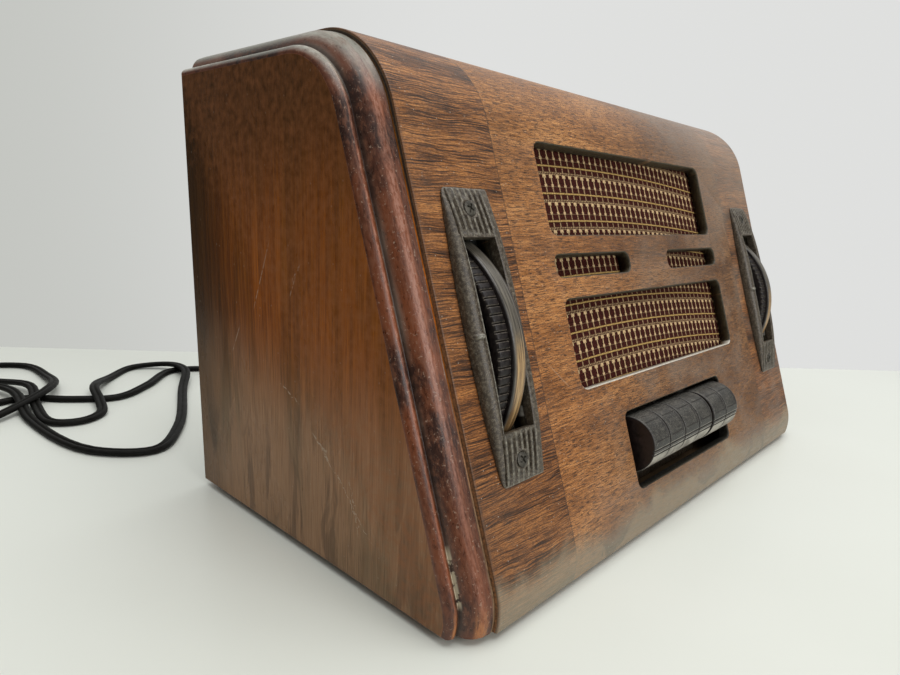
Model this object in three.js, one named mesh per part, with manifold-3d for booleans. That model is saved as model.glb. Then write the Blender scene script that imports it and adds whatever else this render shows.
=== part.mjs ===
// Slant-front wooden table radio with two thumbwheels and six push buttons.
// Millimetres, +Z up, the front faces -Y, the origin is under the middle of the cabinet's footprint.
import * as THREE from 'three';
import * as BufferGeometryUtils from 'three/addons/utils/BufferGeometryUtils.js';
import Module from 'manifold-3d';

const wasm = await Module();
wasm.setup();

// ---- Driving dimensions ----------------------------------------------------------------------
const GAP = 0.3; // air between pieces that touch
const CABINET = { width: 320, height: 185.5, depth: 171.3, topRadius: 39.1, toeRadius: 28.4 };
const TOE_CENTRE_HEIGHT = 5.7; // centre of the toe's curve above the cabinet's underside
const LEAN = THREE.MathUtils.degToRad(69.7); // slope of the front panel
const FOOT = 3; // height of the felt feet
const FOOT_RADIUS = 7;
const SHELL = { thickness: 5, sideInset: 14.3 }; // bent plywood wrap
const BOARD_THICKNESS = 18;
const PROUD = 1.6; // how far the plywood's edge stands proud of the moulding
const BASE_THICKNESS = 6;
const BACK = { thickness: 3.2, inset: 5.3 };
const UPPER_GRILLE = { low: 129.3, high: 165.8, halfWidth: 75.6, corner: 4 };
const LOWER_GRILLE = { low: 68.1, high: 103.6, halfWidth: 76.2, corner: 4 };
const SMALL_SLOT = { low: 112.5, high: 121.3, inner: 19, outer: 77.1, corner: 3.6 };
const BUTTON_WELL = { low: 20.8, high: 53.5, halfWidth: 49.3, corner: 3 };
const BUTTONS = { count: 6, pitch: 15.1, width: 14.5, radius: 12.2, centre: 39.3, sunk: 4, back: -7 };
const BUTTON_TRAVEL = 6;
const STEM = { width: 5, height: 4, reach: -27 };
const WHEEL = { x: 123, up: 95, sunk: 37, radius: 46.5, drumRadius: 45, halfWidth: 6.6, step: 0.8 };
const WHEEL_RIM = 3.5;
const HUB_RADIUS = 8;
const SHAFT_RADIUS = 3.2;
const ESCUTCHEON = { length: 100, right: 12.1, leftEnd: 10.3, leftMiddle: 13, rise: 4.4, edge: 0.6 };
const WHEEL_SLOT = { halfWidth: 8.2, halfLength: 32.4 };
const SCREW_OFFSET = 42.5; // escutcheon screws above and below the wheel's centre
const CHASSIS = { halfWidth: 100, front: -38, back: 66, top: 51, sheet: 1.2 };
const SPEAKER = { up: 116, radius: 50, depth: 32, magnetRadius: 22, magnetDepth: 22 };
const CORD_DIAMETER = 6.4;
const COIL = { x: -276, y: 188, radius: 36, turns: 2.25, pitch: 6.9 };
const PLUG = { radius: 11.5, length: 34, x: COIL.x - COIL.radius, y: 126 };
const GROMMET = { x: -52, z: 34, flange: 8, neck: 5.5, bore: 3.6, sleeve: 25, tip: 4.6 };

// ---- Derived places --------------------------------------------------------------------------
const SIN = Math.sin(LEAN);
const COS = Math.cos(LEAN);
const HALF = CABINET.width / 2;
const toeCentreBack = (CABINET.toeRadius + TOE_CENTRE_HEIGHT * COS) / SIN; // behind the panel's foot
const frontReach = toeCentreBack - CABINET.toeRadius;
const FOOT_Y = -(frontReach + CABINET.depth) / 2; // where the panel's plane meets the underside
const BACK_Y = FOOT_Y + CABINET.depth;
const UNDERSIDE = FOOT;
const TOP = FOOT + CABINET.height;
const SHELL_HALF = HALF - SHELL.sideInset - GAP;
const BASE_TOP = UNDERSIDE + BASE_THICKNESS;
const WHEEL_Y = FOOT_Y + WHEEL.up * COS + WHEEL.sunk * SIN;
const WHEEL_Z = FOOT + WHEEL.up * SIN - WHEEL.sunk * COS;

// ---- Materials -------------------------------------------------------------------------------
const paint = (color, roughness, metalness = 0) => () =>
  new THREE.MeshStandardMaterial({ color, roughness, metalness });
const sideWood = paint(0x6b3320, 0.35);
const veneer = paint(0x7d4b2e, 0.45);
const rawPly = paint(0x8d6b48, 0.8);
const hardboard = paint(0x4a3424, 0.9);
const cloth = paint(0x5a2c1e, 0.95);
const moulded = paint(0x4b463f, 0.55);
const darkPlastic = paint(0x2a2624, 0.5);
const buttonPlastic = paint(0x4d4b49, 0.5);
const steel = paint(0x9b9a92, 0.4, 0.9);
const brass = paint(0xa98b4a, 0.35, 0.9);
const aluminium = paint(0xb9babb, 0.4, 0.9);
const paperCone = paint(0x2b2622, 0.95);
const glass = paint(0x8f9a9c, 0.1);
const bakelite = paint(0x35221a, 0.4);
const ironCore = paint(0x4f4a45, 0.6, 0.7);
const rubber = paint(0x1b1a19, 0.75);
const felt = paint(0x3b3a36, 0.95);

// ---- Solid helpers ---------------------------------------------------------------------------
function closedMesh(geometry) {
  const bare = geometry.clone();
  bare.deleteAttribute('normal');
  bare.deleteAttribute('uv');
  return BufferGeometryUtils.mergeVertices(bare, 1e-5);
}

function signedVolume(geometry) {
  const { array } = geometry.attributes.position;
  const index = geometry.index.array;
  const at = (i) => new THREE.Vector3().fromArray(array, index[i] * 3);
  let volume = 0;
  for (let i = 0; i < index.length; i += 3) {
    volume += at(i).dot(at(i + 1).cross(at(i + 2))) / 6;
  }
  return volume;
}

function toManifold(geometry) {
  const merged = closedMesh(geometry);
  const triVerts = new Uint32Array(merged.index.array);
  if (signedVolume(merged) < 0) {
    for (let i = 0; i < triVerts.length; i += 3) {
      const swap = triVerts[i];
      triVerts[i] = triVerts[i + 1];
      triVerts[i + 1] = swap;
    }
  }
  const vertProperties = new Float32Array(merged.attributes.position.array);
  return new wasm.Manifold(new wasm.Mesh({ numProp: 3, vertProperties, triVerts }));
}

function toGeometry(manifold) {
  const mesh = manifold.getMesh();
  const geometry = new THREE.BufferGeometry();
  geometry.setAttribute('position', new THREE.BufferAttribute(new Float32Array(mesh.vertProperties), 3));
  geometry.setIndex(new THREE.BufferAttribute(new Uint32Array(mesh.triVerts), 1));
  geometry.computeVertexNormals();
  return geometry;
}

const cut = (geometry, ...tools) =>
  toGeometry(tools.reduce((body, tool) => body.subtract(toManifold(tool)), toManifold(geometry)));
const join = (geometry, ...more) =>
  toGeometry(more.reduce((body, piece) => body.add(toManifold(piece)), toManifold(geometry)));
const common = (a, b) => toGeometry(toManifold(a).intersect(toManifold(b)));

function box(xs, ys, zs) {
  const geometry = new THREE.BoxGeometry(xs[1] - xs[0], ys[1] - ys[0], zs[1] - zs[0]);
  return geometry.translate((xs[0] + xs[1]) / 2, (ys[0] + ys[1]) / 2, (zs[0] + zs[1]) / 2);
}

// A cylinder along X, Y or Z between two stations of that axis.
function rod(axis, radius, from, to, centre, segments = 20) {
  const geometry = new THREE.CylinderGeometry(radius, radius, to - from, segments);
  if (axis === 'x') geometry.rotateZ(-Math.PI / 2);
  if (axis === 'z') geometry.rotateX(Math.PI / 2);
  const middle = (from + to) / 2;
  const [a, b] = centre;
  if (axis === 'x') return geometry.translate(middle, a, b);
  if (axis === 'y') return geometry.translate(a, middle, b);
  return geometry.translate(a, b, middle);
}

// A turned solid about X, from profile points of (radius, station along X).
function turnedAlongX(profile, segments) {
  const points = profile.map(([radius, station]) => new THREE.Vector2(radius, station));
  return new THREE.LatheGeometry(points, segments).rotateZ(-Math.PI / 2);
}

// A turned solid about Z, from profile points of (radius, height).
function turnedAlongZ(profile, segments) {
  const points = profile.map(([radius, height]) => new THREE.Vector2(radius, height));
  return new THREE.LatheGeometry(points, segments).rotateX(Math.PI / 2);
}

// A shape drawn in the YZ plane and extruded along X.
function extrudedAlongX(points, from, to) {
  const shape = new THREE.Shape(points.map(([y, z]) => new THREE.Vector2(y, z)));
  const geometry = new THREE.ExtrudeGeometry(shape, { depth: to - from, bevelEnabled: false });
  const turn = new THREE.Matrix4().makeBasis(
    new THREE.Vector3(0, 1, 0),
    new THREE.Vector3(0, 0, 1),
    new THREE.Vector3(1, 0, 0),
  );
  return geometry.applyMatrix4(turn).translate(from, 0, 0);
}

function roundedPlate(x0, x1, y0, y1, corner, z0, z1) {
  const shape = new THREE.Shape();
  shape.moveTo(x0 + corner, y0);
  shape.lineTo(x1 - corner, y0);
  shape.absarc(x1 - corner, y0 + corner, corner, -Math.PI / 2, 0);
  shape.absarc(x1 - corner, y1 - corner, corner, 0, Math.PI / 2);
  shape.absarc(x0 + corner, y1 - corner, corner, Math.PI / 2, Math.PI);
  shape.absarc(x0 + corner, y0 + corner, corner, Math.PI, Math.PI * 1.5);
  const geometry = new THREE.ExtrudeGeometry(shape, {
    depth: z1 - z0,
    bevelEnabled: false,
    curveSegments: 5,
  });
  return geometry.translate(0, 0, z0);
}

// ---- The scene -------------------------------------------------------------------------------
const radio = new THREE.Group();

// Pieces on the slanted panel sit in this group: its X runs across, Y up the slope from the
// panel's foot, and Z straight out of the panel, with 0 on the veneer.
const panel = new THREE.Group();
panel.position.set(0, FOOT_Y, FOOT);
panel.rotation.x = LEAN;
panel.updateMatrix();
radio.add(panel);

function add(name, geometry, material, parent = radio) {
  const mesh = new THREE.Mesh(geometry, material());
  mesh.name = name;
  parent.add(mesh);
  return mesh;
}

const onPanel = (geometry) => geometry.applyMatrix4(panel.matrix);

// ---- Cabinet ---------------------------------------------------------------------------------
// The cabinet's outline from the top of the back, over the top, down the slope and around the toe,
// moved inward by inset.
function wrap(inset) {
  const points = [[BACK_Y, TOP - inset]];
  const normal = Math.PI / 2 + LEAN; // direction of the slope's outward normal in the YZ plane
  const topCentreZ = TOP - CABINET.topRadius;
  const topCentreBack = (CABINET.topRadius + (topCentreZ - UNDERSIDE) * COS) / SIN;
  const topCentreY = FOOT_Y + topCentreBack;
  const topSteps = 12;
  for (let i = 0; i <= topSteps; i += 1) {
    const angle = Math.PI / 2 + ((normal - Math.PI / 2) * i) / topSteps;
    const radius = CABINET.topRadius - inset;
    points.push([topCentreY + radius * Math.cos(angle), topCentreZ + radius * Math.sin(angle)]);
  }
  const toeRadius = CABINET.toeRadius - inset;
  const toeEnd = Math.PI + Math.asin(TOE_CENTRE_HEIGHT / toeRadius);
  const toeSteps = 5;
  for (let i = 0; i <= toeSteps; i += 1) {
    const angle = normal + ((toeEnd - normal) * i) / toeSteps;
    const y = FOOT_Y + toeCentreBack + toeRadius * Math.cos(angle);
    points.push([y, UNDERSIDE + TOE_CENTRE_HEIGHT + toeRadius * Math.sin(angle)]);
  }
  return points;
}

// Distance in from the outer face, and how far the moulding is cut back there.
const MOULDING = [
  [0, 9.9],
  [0.7, 8.9],
  [2, 8.3],
  [3.2, 8.6],
  [3.7, 7],
  [4.6, 5],
  [6.2, 3.3],
  [8.6, 2.2],
  [11.4, PROUD + 0.1],
  [SHELL.sideInset, PROUD],
  [SHELL.sideInset, SHELL.thickness + GAP],
  [BOARD_THICKNESS, SHELL.thickness + GAP],
];

// A board whose outline changes from station to station across its thickness.
function loftAlongX(stations, outline) {
  const rings = stations.map(([x, inset]) => outline(inset).map(([y, z]) => [x, y, z]));
  const count = rings[0].length;
  const positions = rings.flat(2);
  const index = [];
  for (let r = 0; r + 1 < rings.length; r += 1) {
    for (let i = 0; i < count; i += 1) {
      const a = r * count + i;
      const b = r * count + ((i + 1) % count);
      index.push(a, b, a + count, b, b + count, a + count);
    }
  }
  const flat = outline(stations[0][1]).map(([y, z]) => new THREE.Vector2(y, z));
  const lastFlat = outline(stations.at(-1)[1]).map(([y, z]) => new THREE.Vector2(y, z));
  const last = (rings.length - 1) * count;
  for (const [a, b, c] of THREE.ShapeUtils.triangulateShape(flat, [])) index.push(c, b, a);
  for (const [a, b, c] of THREE.ShapeUtils.triangulateShape(lastFlat, [])) {
    index.push(last + a, last + b, last + c);
  }
  const geometry = new THREE.BufferGeometry();
  geometry.setAttribute('position', new THREE.Float32BufferAttribute(positions, 3));
  geometry.setIndex(index);
  return geometry;
}

const boardOutline = (inset) => [[BACK_Y, UNDERSIDE], ...wrap(inset)];
const BACK_SCREWS = [
  [-1, 22],
  [1, 22],
  [-1, 164],
  [1, 164],
];
const BACK_SCREW_X = HALF - BOARD_THICKNESS + 4;
const coverFront = BACK_Y - BACK.inset + GAP;

function sideBoard(side) {
  const stations = MOULDING.map(([inward, inset]) => [side * (HALF - inward), inset]);
  const rebateInner = side * (HALF - BOARD_THICKNESS - 1);
  const rebateOuter = side * (HALF - BOARD_THICKNESS + 8);
  const xs = [Math.min(rebateInner, rebateOuter), Math.max(rebateInner, rebateOuter)];
  const rebate = box(xs, [BACK_Y - BACK.inset, BACK_Y + 1], [UNDERSIDE - 1, TOP - SHELL.thickness - GAP]);
  const pilots = BACK_SCREWS.filter(([s]) => s === side).map(([, z]) =>
    rod('y', 1.7, BACK_Y - 20, BACK_Y, [side * BACK_SCREW_X, z], 12),
  );
  return cut(loftAlongX(stations, boardOutline), rebate, ...pilots);
}

add('side_board_left', sideBoard(-1), sideWood);
add('side_board_right', sideBoard(1), sideWood);

function panelHole(hole, depth) {
  const { low, high, corner } = hole;
  return roundedPlate(-hole.halfWidth, hole.halfWidth, low, high, corner, -depth, depth);
}

function smallSlot(side) {
  const edges = [side * SMALL_SLOT.inner, side * SMALL_SLOT.outer].sort((a, b) => a - b);
  const { low, high, corner } = SMALL_SLOT;
  return roundedPlate(edges[0], edges[1], low, high, corner, -12, 12);
}

function wheelOpening(side) {
  const middle = side * WHEEL.x;
  const reach = WHEEL_SLOT.halfLength + 6;
  return box([middle - 8.4, middle + 8.4], [WHEEL.up - reach, WHEEL.up + reach], [-12, 12]);
}

function frontShell() {
  const outline = [...wrap(0), ...wrap(SHELL.thickness).reverse()];
  const sheet = extrudedAlongX(outline, -SHELL_HALF, SHELL_HALF);
  const holes = [panelHole(UPPER_GRILLE, 12), panelHole(LOWER_GRILLE, 12), panelHole(BUTTON_WELL, 12)];
  for (const side of [-1, 1]) {
    holes.push(smallSlot(side), wheelOpening(side));
    for (const offset of [-SCREW_OFFSET, SCREW_OFFSET]) {
      holes.push(rod('z', 1.6, -12, 12, [side * WHEEL.x, WHEEL.up + offset], 12));
    }
  }
  return cut(sheet, ...holes.map(onPanel));
}
add('front_shell', frontShell(), veneer);

const innerHalf = HALF - BOARD_THICKNESS - GAP;
const baseFront = FOOT_Y + frontReach + SHELL.thickness + 1.2;
add(
  'base_panel',
  box([-innerHalf, innerHalf], [baseFront, BACK_Y - BACK.inset], [UNDERSIDE, BASE_TOP]),
  rawPly,
);

for (const [i, [x, y]] of [[-125, -58], [125, -58], [-125, 66], [125, 66]].entries()) {
  add(`foot_${i + 1}`, rod('z', FOOT_RADIUS, 0, FOOT - GAP, [x, y], 24), felt);
}

function backCover() {
  const half = HALF - BOARD_THICKNESS + 8 - GAP;
  const ys = [coverFront, coverFront + BACK.thickness];
  const plate = box([-half, half], ys, [UNDERSIDE + 0.5, TOP - SHELL.thickness - 2 * GAP]);
  const holes = [rod('y', GROMMET.neck + GAP, BACK_Y - 12, BACK_Y, [GROMMET.x, GROMMET.z], 20)];
  for (const [side, z] of BACK_SCREWS) {
    holes.push(rod('y', 1.8, BACK_Y - 12, BACK_Y, [side * BACK_SCREW_X, z], 12));
  }
  for (let row = 0; row < 3; row += 1) {
    for (let column = -3; column <= 3; column += 1) {
      const x = column * 32;
      const z = 92 + row * 28;
      holes.push(box([x - 11, x + 11], [BACK_Y - 12, BACK_Y], [z - 4, z + 4]));
    }
  }
  return cut(plate, ...holes);
}
add('back_cover', backCover(), hardboard);

const coverBack = coverFront + BACK.thickness;
for (const [i, [side, z]] of BACK_SCREWS.entries()) {
  const centre = [side * BACK_SCREW_X, z];
  const shank = rod('y', 1.4, BACK_Y - 17, coverBack + 1, centre, 12);
  const head = rod('y', 3.4, coverBack + GAP, BACK_Y, centre, 20);
  add(`back_screw_${i + 1}`, join(shank, head), steel);
}

// ---- Grille ----------------------------------------------------------------------------------
const CLOTH_HALF = 88;
const clothFront = -SHELL.thickness - GAP;
const clothBack = clothFront - 0.8;
const baffleFront = clothBack - GAP;
const baffleBack = baffleFront - 6;
add('grille_cloth', box([-CLOTH_HALF, CLOTH_HALF], [60.5, 167], [clothBack, clothFront]), cloth, panel);
add(
  'speaker_baffle',
  cut(
    box([-92, 92], [59, 168], [baffleBack, baffleFront]),
    rod('z', SPEAKER.radius - 4, baffleBack - 1, baffleFront + 1, [0, SPEAKER.up], 40),
  ),
  rawPly,
  panel,
);

// ---- Speaker ---------------------------------------------------------------------------------
const rimFront = baffleBack - GAP;
function speakerFrame() {
  const deep = rimFront - SPEAKER.depth;
  return turnedAlongZ(
    [
      [12, deep],
      [20, deep],
      [SPEAKER.radius - 5, rimFront - 1.2],
      [SPEAKER.radius, rimFront - 1.2],
      [SPEAKER.radius, rimFront],
      [SPEAKER.radius - 4.4, rimFront],
      [19.4, deep + 1.2],
      [12, deep + 1.2],
      [12, deep],
    ],
    32,
  ).translate(0, SPEAKER.up, 0);
}

function speakerCone() {
  const deep = rimFront - SPEAKER.depth + 3;
  return turnedAlongZ(
    [
      [0, deep + 3],
      [11, deep],
      [SPEAKER.radius - 6.5, rimFront - 1.4],
      [SPEAKER.radius - 7, rimFront - 0.4],
      [11.2, deep + 1],
      [0, deep + 4.4],
    ],
    32,
  ).translate(0, SPEAKER.up, 0);
}

function speakerMagnet() {
  const front = rimFront - SPEAKER.depth - GAP;
  const back = front - SPEAKER.magnetDepth;
  return turnedAlongZ(
    [
      [0, back],
      [SPEAKER.magnetRadius - 1.5, back],
      [SPEAKER.magnetRadius, back + 1.5],
      [SPEAKER.magnetRadius, front - 1.5],
      [SPEAKER.magnetRadius - 1.5, front],
      [0, front],
    ],
    32,
  ).translate(0, SPEAKER.up, 0);
}
add('speaker_frame', speakerFrame(), ironCore, panel);
add('speaker_cone', speakerCone(), paperCone, panel);
add('speaker_magnet', speakerMagnet(), ironCore, panel);

// ---- Escutcheons and their screws --------------------------------------------------------------
// The plate's top rises in one smooth bow from its thin ends to the middle.
const bow = (along) => ESCUTCHEON.edge + ESCUTCHEON.rise * (1 - Math.abs((2 * along) / ESCUTCHEON.length) ** 3);

function escutcheon() {
  const half = ESCUTCHEON.length / 2;
  const steps = 16;
  const side = [[-half, GAP], [half, GAP]];
  for (let i = 0; i <= steps; i += 1) {
    const along = half - (ESCUTCHEON.length * i) / steps;
    side.push([along, bow(along)]);
  }
  const body = extrudedAlongX(side, -20, 20);
  const plan = new THREE.Shape();
  const control = -(2 * ESCUTCHEON.leftMiddle - ESCUTCHEON.leftEnd);
  plan.moveTo(-ESCUTCHEON.leftEnd, -half);
  plan.lineTo(ESCUTCHEON.right, -half);
  plan.lineTo(ESCUTCHEON.right, half);
  plan.lineTo(-ESCUTCHEON.leftEnd, half);
  plan.quadraticCurveTo(control, 0, -ESCUTCHEON.leftEnd, -half);
  const outline = new THREE.ExtrudeGeometry(plan, { depth: 30, bevelEnabled: false, curveSegments: 10 });
  const { halfWidth, halfLength } = WHEEL_SLOT;
  const bump = rod('y', 2.8, -1.1, 1.1, [-10.4, ESCUTCHEON.rise - 1], 16);
  const holes = [box([-halfWidth, halfWidth], [-halfLength, halfLength], [-5, 20])];
  for (const offset of [-SCREW_OFFSET, SCREW_OFFSET]) {
    holes.push(rod('z', 1.6, -2, 10, [0, offset], 12), rod('z', 2.9, 1.3, 10, [0, offset], 20));
  }
  return cut(join(common(body, outline.translate(0, 0, -10)), bump), ...holes);
}

for (const [side, word] of [[-1, 'left'], [1, 'right']]) {
  add(`escutcheon_${word}`, escutcheon(), moulded, panel).position.set(side * WHEEL.x, WHEEL.up, 0);
  for (const [offset, place] of [[-SCREW_OFFSET, 'lower'], [SCREW_OFFSET, 'upper']]) {
    const screw = join(rod('z', 1.25, -8, 2, [0, 0], 12), rod('z', 2.6, 1.6, 2.9, [0, 0], 20));
    const mesh = add(`escutcheon_screw_${word}_${place}`, screw, steel, panel);
    mesh.position.set(side * WHEEL.x, WHEEL.up + offset, 0);
  }
}

// ---- Thumbwheels and shafts --------------------------------------------------------------------
function thumbwheel() {
  const { radius, drumRadius, halfWidth, step } = WHEEL;
  const inner = drumRadius - WHEEL_RIM;
  const bore = SHAFT_RADIUS + GAP;
  return turnedAlongX(
    [
      [bore, -halfWidth],
      [HUB_RADIUS, -halfWidth],
      [HUB_RADIUS, -1.5],
      [inner, -1.5],
      [inner, -halfWidth],
      [drumRadius, -halfWidth],
      [drumRadius, -step],
      [radius, -step],
      [radius, halfWidth],
      [inner, halfWidth],
      [inner, 1.5],
      [HUB_RADIUS, 1.5],
      [HUB_RADIUS, halfWidth],
      [bore, halfWidth],
      [bore, -halfWidth],
    ],
    64,
  );
}
add('volume_wheel', thumbwheel(), darkPlastic).position.set(-WHEEL.x, WHEEL_Y, WHEEL_Z);
add('tuning_wheel', thumbwheel(), darkPlastic).position.set(WHEEL.x, WHEEL_Y, WHEEL_Z);

const wheelAxis = [WHEEL_Y, WHEEL_Z];
const shaftEnd = WHEEL.x + WHEEL.halfWidth + 1.4;
const flangeFace = -CHASSIS.halfWidth + CHASSIS.sheet;
const potFace = flangeFace + GAP;
const POT = { radius: 12, length: 14 };
add('volume_shaft', rod('x', SHAFT_RADIUS, -shaftEnd, potFace - GAP, wheelAxis), steel);
add('volume_control', rod('x', POT.radius, potFace, potFace + POT.length, wheelAxis, 28), steel);

// ---- Tuning condenser ----------------------------------------------------------------------------
const CONDENSER = { inner: 64, outer: 100, front: -34, back: -4, plate: 1.6, pitch: 6.6, stators: 4 };
const condenserFoot = CHASSIS.top + GAP;
add('tuning_shaft', rod('x', SHAFT_RADIUS, CONDENSER.inner - 3, shaftEnd, wheelAxis), steel);

function condenserFrame() {
  const { inner, outer, front, back, plate, pitch, stators } = CONDENSER;
  const ys = [front, back];
  const endTop = WHEEL_Z + 9;
  const parts = [
    box([inner, inner + plate], ys, [condenserFoot, endTop]),
    box([outer - plate, outer], ys, [condenserFoot, endTop]),
  ];
  for (let i = 0; i < stators; i += 1) {
    const x = inner + 8 + i * pitch;
    parts.push(box([x, x + 1.2], [front + 3, back - 3], [condenserFoot, WHEEL_Z - 5]));
  }
  const tray = box([inner, outer], ys, [condenserFoot, condenserFoot + plate]);
  const bore = rod('x', SHAFT_RADIUS + 0.4, inner - 1, outer + 1, wheelAxis, 24);
  return cut(join(tray, ...parts), bore);
}
add('tuning_condenser_frame', condenserFrame(), aluminium);

function condenserRotor() {
  const vaneRadius = 14;
  const half = new THREE.Shape();
  half.absarc(0, 0, vaneRadius, 0, Math.PI);
  half.lineTo(-vaneRadius, -2);
  half.lineTo(vaneRadius, -2);
  const parts = [];
  const first = CONDENSER.inner + 8 + CONDENSER.pitch / 2;
  for (let i = 0; i < CONDENSER.stators; i += 1) {
    const vane = new THREE.ExtrudeGeometry(half, { depth: 1, bevelEnabled: false, curveSegments: 12 });
    const turn = new THREE.Matrix4().makeBasis(
      new THREE.Vector3(0, 1, 0),
      new THREE.Vector3(0, 0, 1),
      new THREE.Vector3(1, 0, 0),
    );
    parts.push(vane.applyMatrix4(turn).translate(first + i * CONDENSER.pitch, WHEEL_Y, WHEEL_Z));
  }
  const hubFrom = CONDENSER.inner + 4;
  const hubTo = first + (CONDENSER.stators - 1) * CONDENSER.pitch + 2;
  const hub = rod('x', SHAFT_RADIUS + 1.3, hubFrom, hubTo, wheelAxis, 24);
  const bore = rod('x', SHAFT_RADIUS + GAP, hubFrom - 1, hubTo + 1, wheelAxis, 24);
  return cut(join(hub, ...parts), bore);
}
add('tuning_condenser_rotor', condenserRotor(), aluminium);

// ---- Chassis and what stands on it ---------------------------------------------------------------
function chassis() {
  const { halfWidth, front, back, top, sheet } = CHASSIS;
  const low = BASE_TOP + GAP;
  const tray = join(
    box([-halfWidth, halfWidth], [front, back], [top - sheet, top]),
    box([-halfWidth, halfWidth], [front, front + sheet], [low, top]),
    box([-halfWidth, halfWidth], [back - sheet, back], [low, top]),
    box([-halfWidth, -halfWidth + sheet], [front, front + 38], [top - sheet, WHEEL_Z + 15]),
  );
  return cut(tray, rod('x', SHAFT_RADIUS + 0.4, -halfWidth - 1, -halfWidth + 3, wheelAxis, 24));
}
add('chassis', chassis(), steel);

const TUBE_ROW = 47;
const TUBE_XS = [-82, -42, 0, 40, 80];
for (const [i, x] of TUBE_XS.entries()) {
  const foot = CHASSIS.top + GAP;
  const socket = rod('z', 15.5, foot, foot + 3, [x, TUBE_ROW], 24);
  add(`tube_socket_${i + 1}`, socket, bakelite);
  const base = foot + 3 + GAP;
  const tube = turnedAlongZ(
    [
      [0, base],
      [14, base],
      [14, base + 20],
      [14.8, base + 22],
      [14.8, base + 58],
      [12.5, base + 65],
      [7, base + 69],
      [0, base + 70],
    ],
    24,
  );
  add(`tube_${i + 1}`, tube.translate(x, TUBE_ROW, 0), glass);
}

for (const [i, x] of [48, 86].entries()) {
  const can = roundedPlate(x - 12, x + 12, 4, 28, 3, CHASSIS.top + GAP, CHASSIS.top + 68);
  add(`if_transformer_can_${i + 1}`, can, aluminium);
}

const transformerFoot = CHASSIS.top + GAP;
add(
  'output_transformer',
  join(
    box([-84, -50], [2, 26], [transformerFoot, transformerFoot + 30]),
    box([-78, -56], [-3, 31], [transformerFoot + 5, transformerFoot + 25]),
  ),
  ironCore,
);

// ---- Push buttons ---------------------------------------------------------------------------------
const PROUD_PAIR = 0.8; // the two right-hand buttons stand this much further out
const buttonX = (i) => (i - (BUTTONS.count - 1) / 2) * BUTTONS.pitch;

function pushButton() {
  const { radius, centre, sunk, back, width } = BUTTONS;
  const from = Math.asin((back + sunk) / radius);
  const points = [];
  const steps = 16;
  for (let i = 0; i <= steps; i += 1) {
    const angle = from + ((Math.PI - 2 * from) * i) / steps;
    points.push([centre + radius * Math.cos(angle), -sunk + radius * Math.sin(angle)]);
  }
  const cap = extrudedAlongX(points, -width / 2, width / 2);
  const stemXs = [-STEM.width / 2, STEM.width / 2];
  const stem = box(stemXs, [centre - STEM.height / 2, centre + STEM.height / 2], [STEM.reach, back + 1]);
  return join(cap, stem);
}

for (let i = 0; i < BUTTONS.count; i += 1) {
  const out = i < 4 ? 0 : PROUD_PAIR;
  add(`push_button_${i + 1}`, pushButton(), buttonPlastic, panel).position.set(buttonX(i), 0, out);
}

function buttonBracket() {
  const front = -20;
  const plate = box([-52, 52], [22, 54], [front - 1.6, front]);
  const guides = [];
  for (let i = 0; i < BUTTONS.count; i += 1) {
    const xs = [buttonX(i) - STEM.width / 2 - 0.4, buttonX(i) + STEM.width / 2 + 0.4];
    const reach = STEM.height / 2 + 0.4;
    guides.push(box(xs, [BUTTONS.centre - reach, BUTTONS.centre + reach], [front - 5, front + 3]));
  }
  const tilted = onPanel(cut(plate, ...guides));
  const footY = FOOT_Y + 22 * COS - front * SIN;
  const footZ = FOOT + 22 * SIN + front * COS;
  const foot = BASE_TOP + GAP;
  const riser = box([-52, 52], [footY, footY + 1.8], [foot, footZ + 1.6]);
  const flange = box([-52, 52], [footY, footY + 14], [foot, foot + 1.6]);
  return join(tilted, riser, flange);
}
add('button_bracket', buttonBracket(), steel);

// ---- Mains cord, grommet, coil and plug ---------------------------------------------------------
function grommet() {
  const { flange, neck, bore, sleeve, tip } = GROMMET;
  const inside = coverFront - 1.6;
  const profile = [
    [bore, inside],
    [flange, inside],
    [flange, coverFront - GAP],
    [neck, coverFront - GAP],
    [neck, coverBack + GAP],
    [flange, coverBack + GAP],
    [flange, BACK_Y],
    [neck + 0.8, BACK_Y + 1],
    [tip, BACK_Y + sleeve],
    [bore, BACK_Y + sleeve],
    [bore, inside],
  ];
  const points = profile.map(([radius, station]) => new THREE.Vector2(radius, station));
  return new THREE.LatheGeometry(points, 24).translate(GROMMET.x, 0, GROMMET.z);
}
add('cord_grommet', grommet(), rubber);

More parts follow.
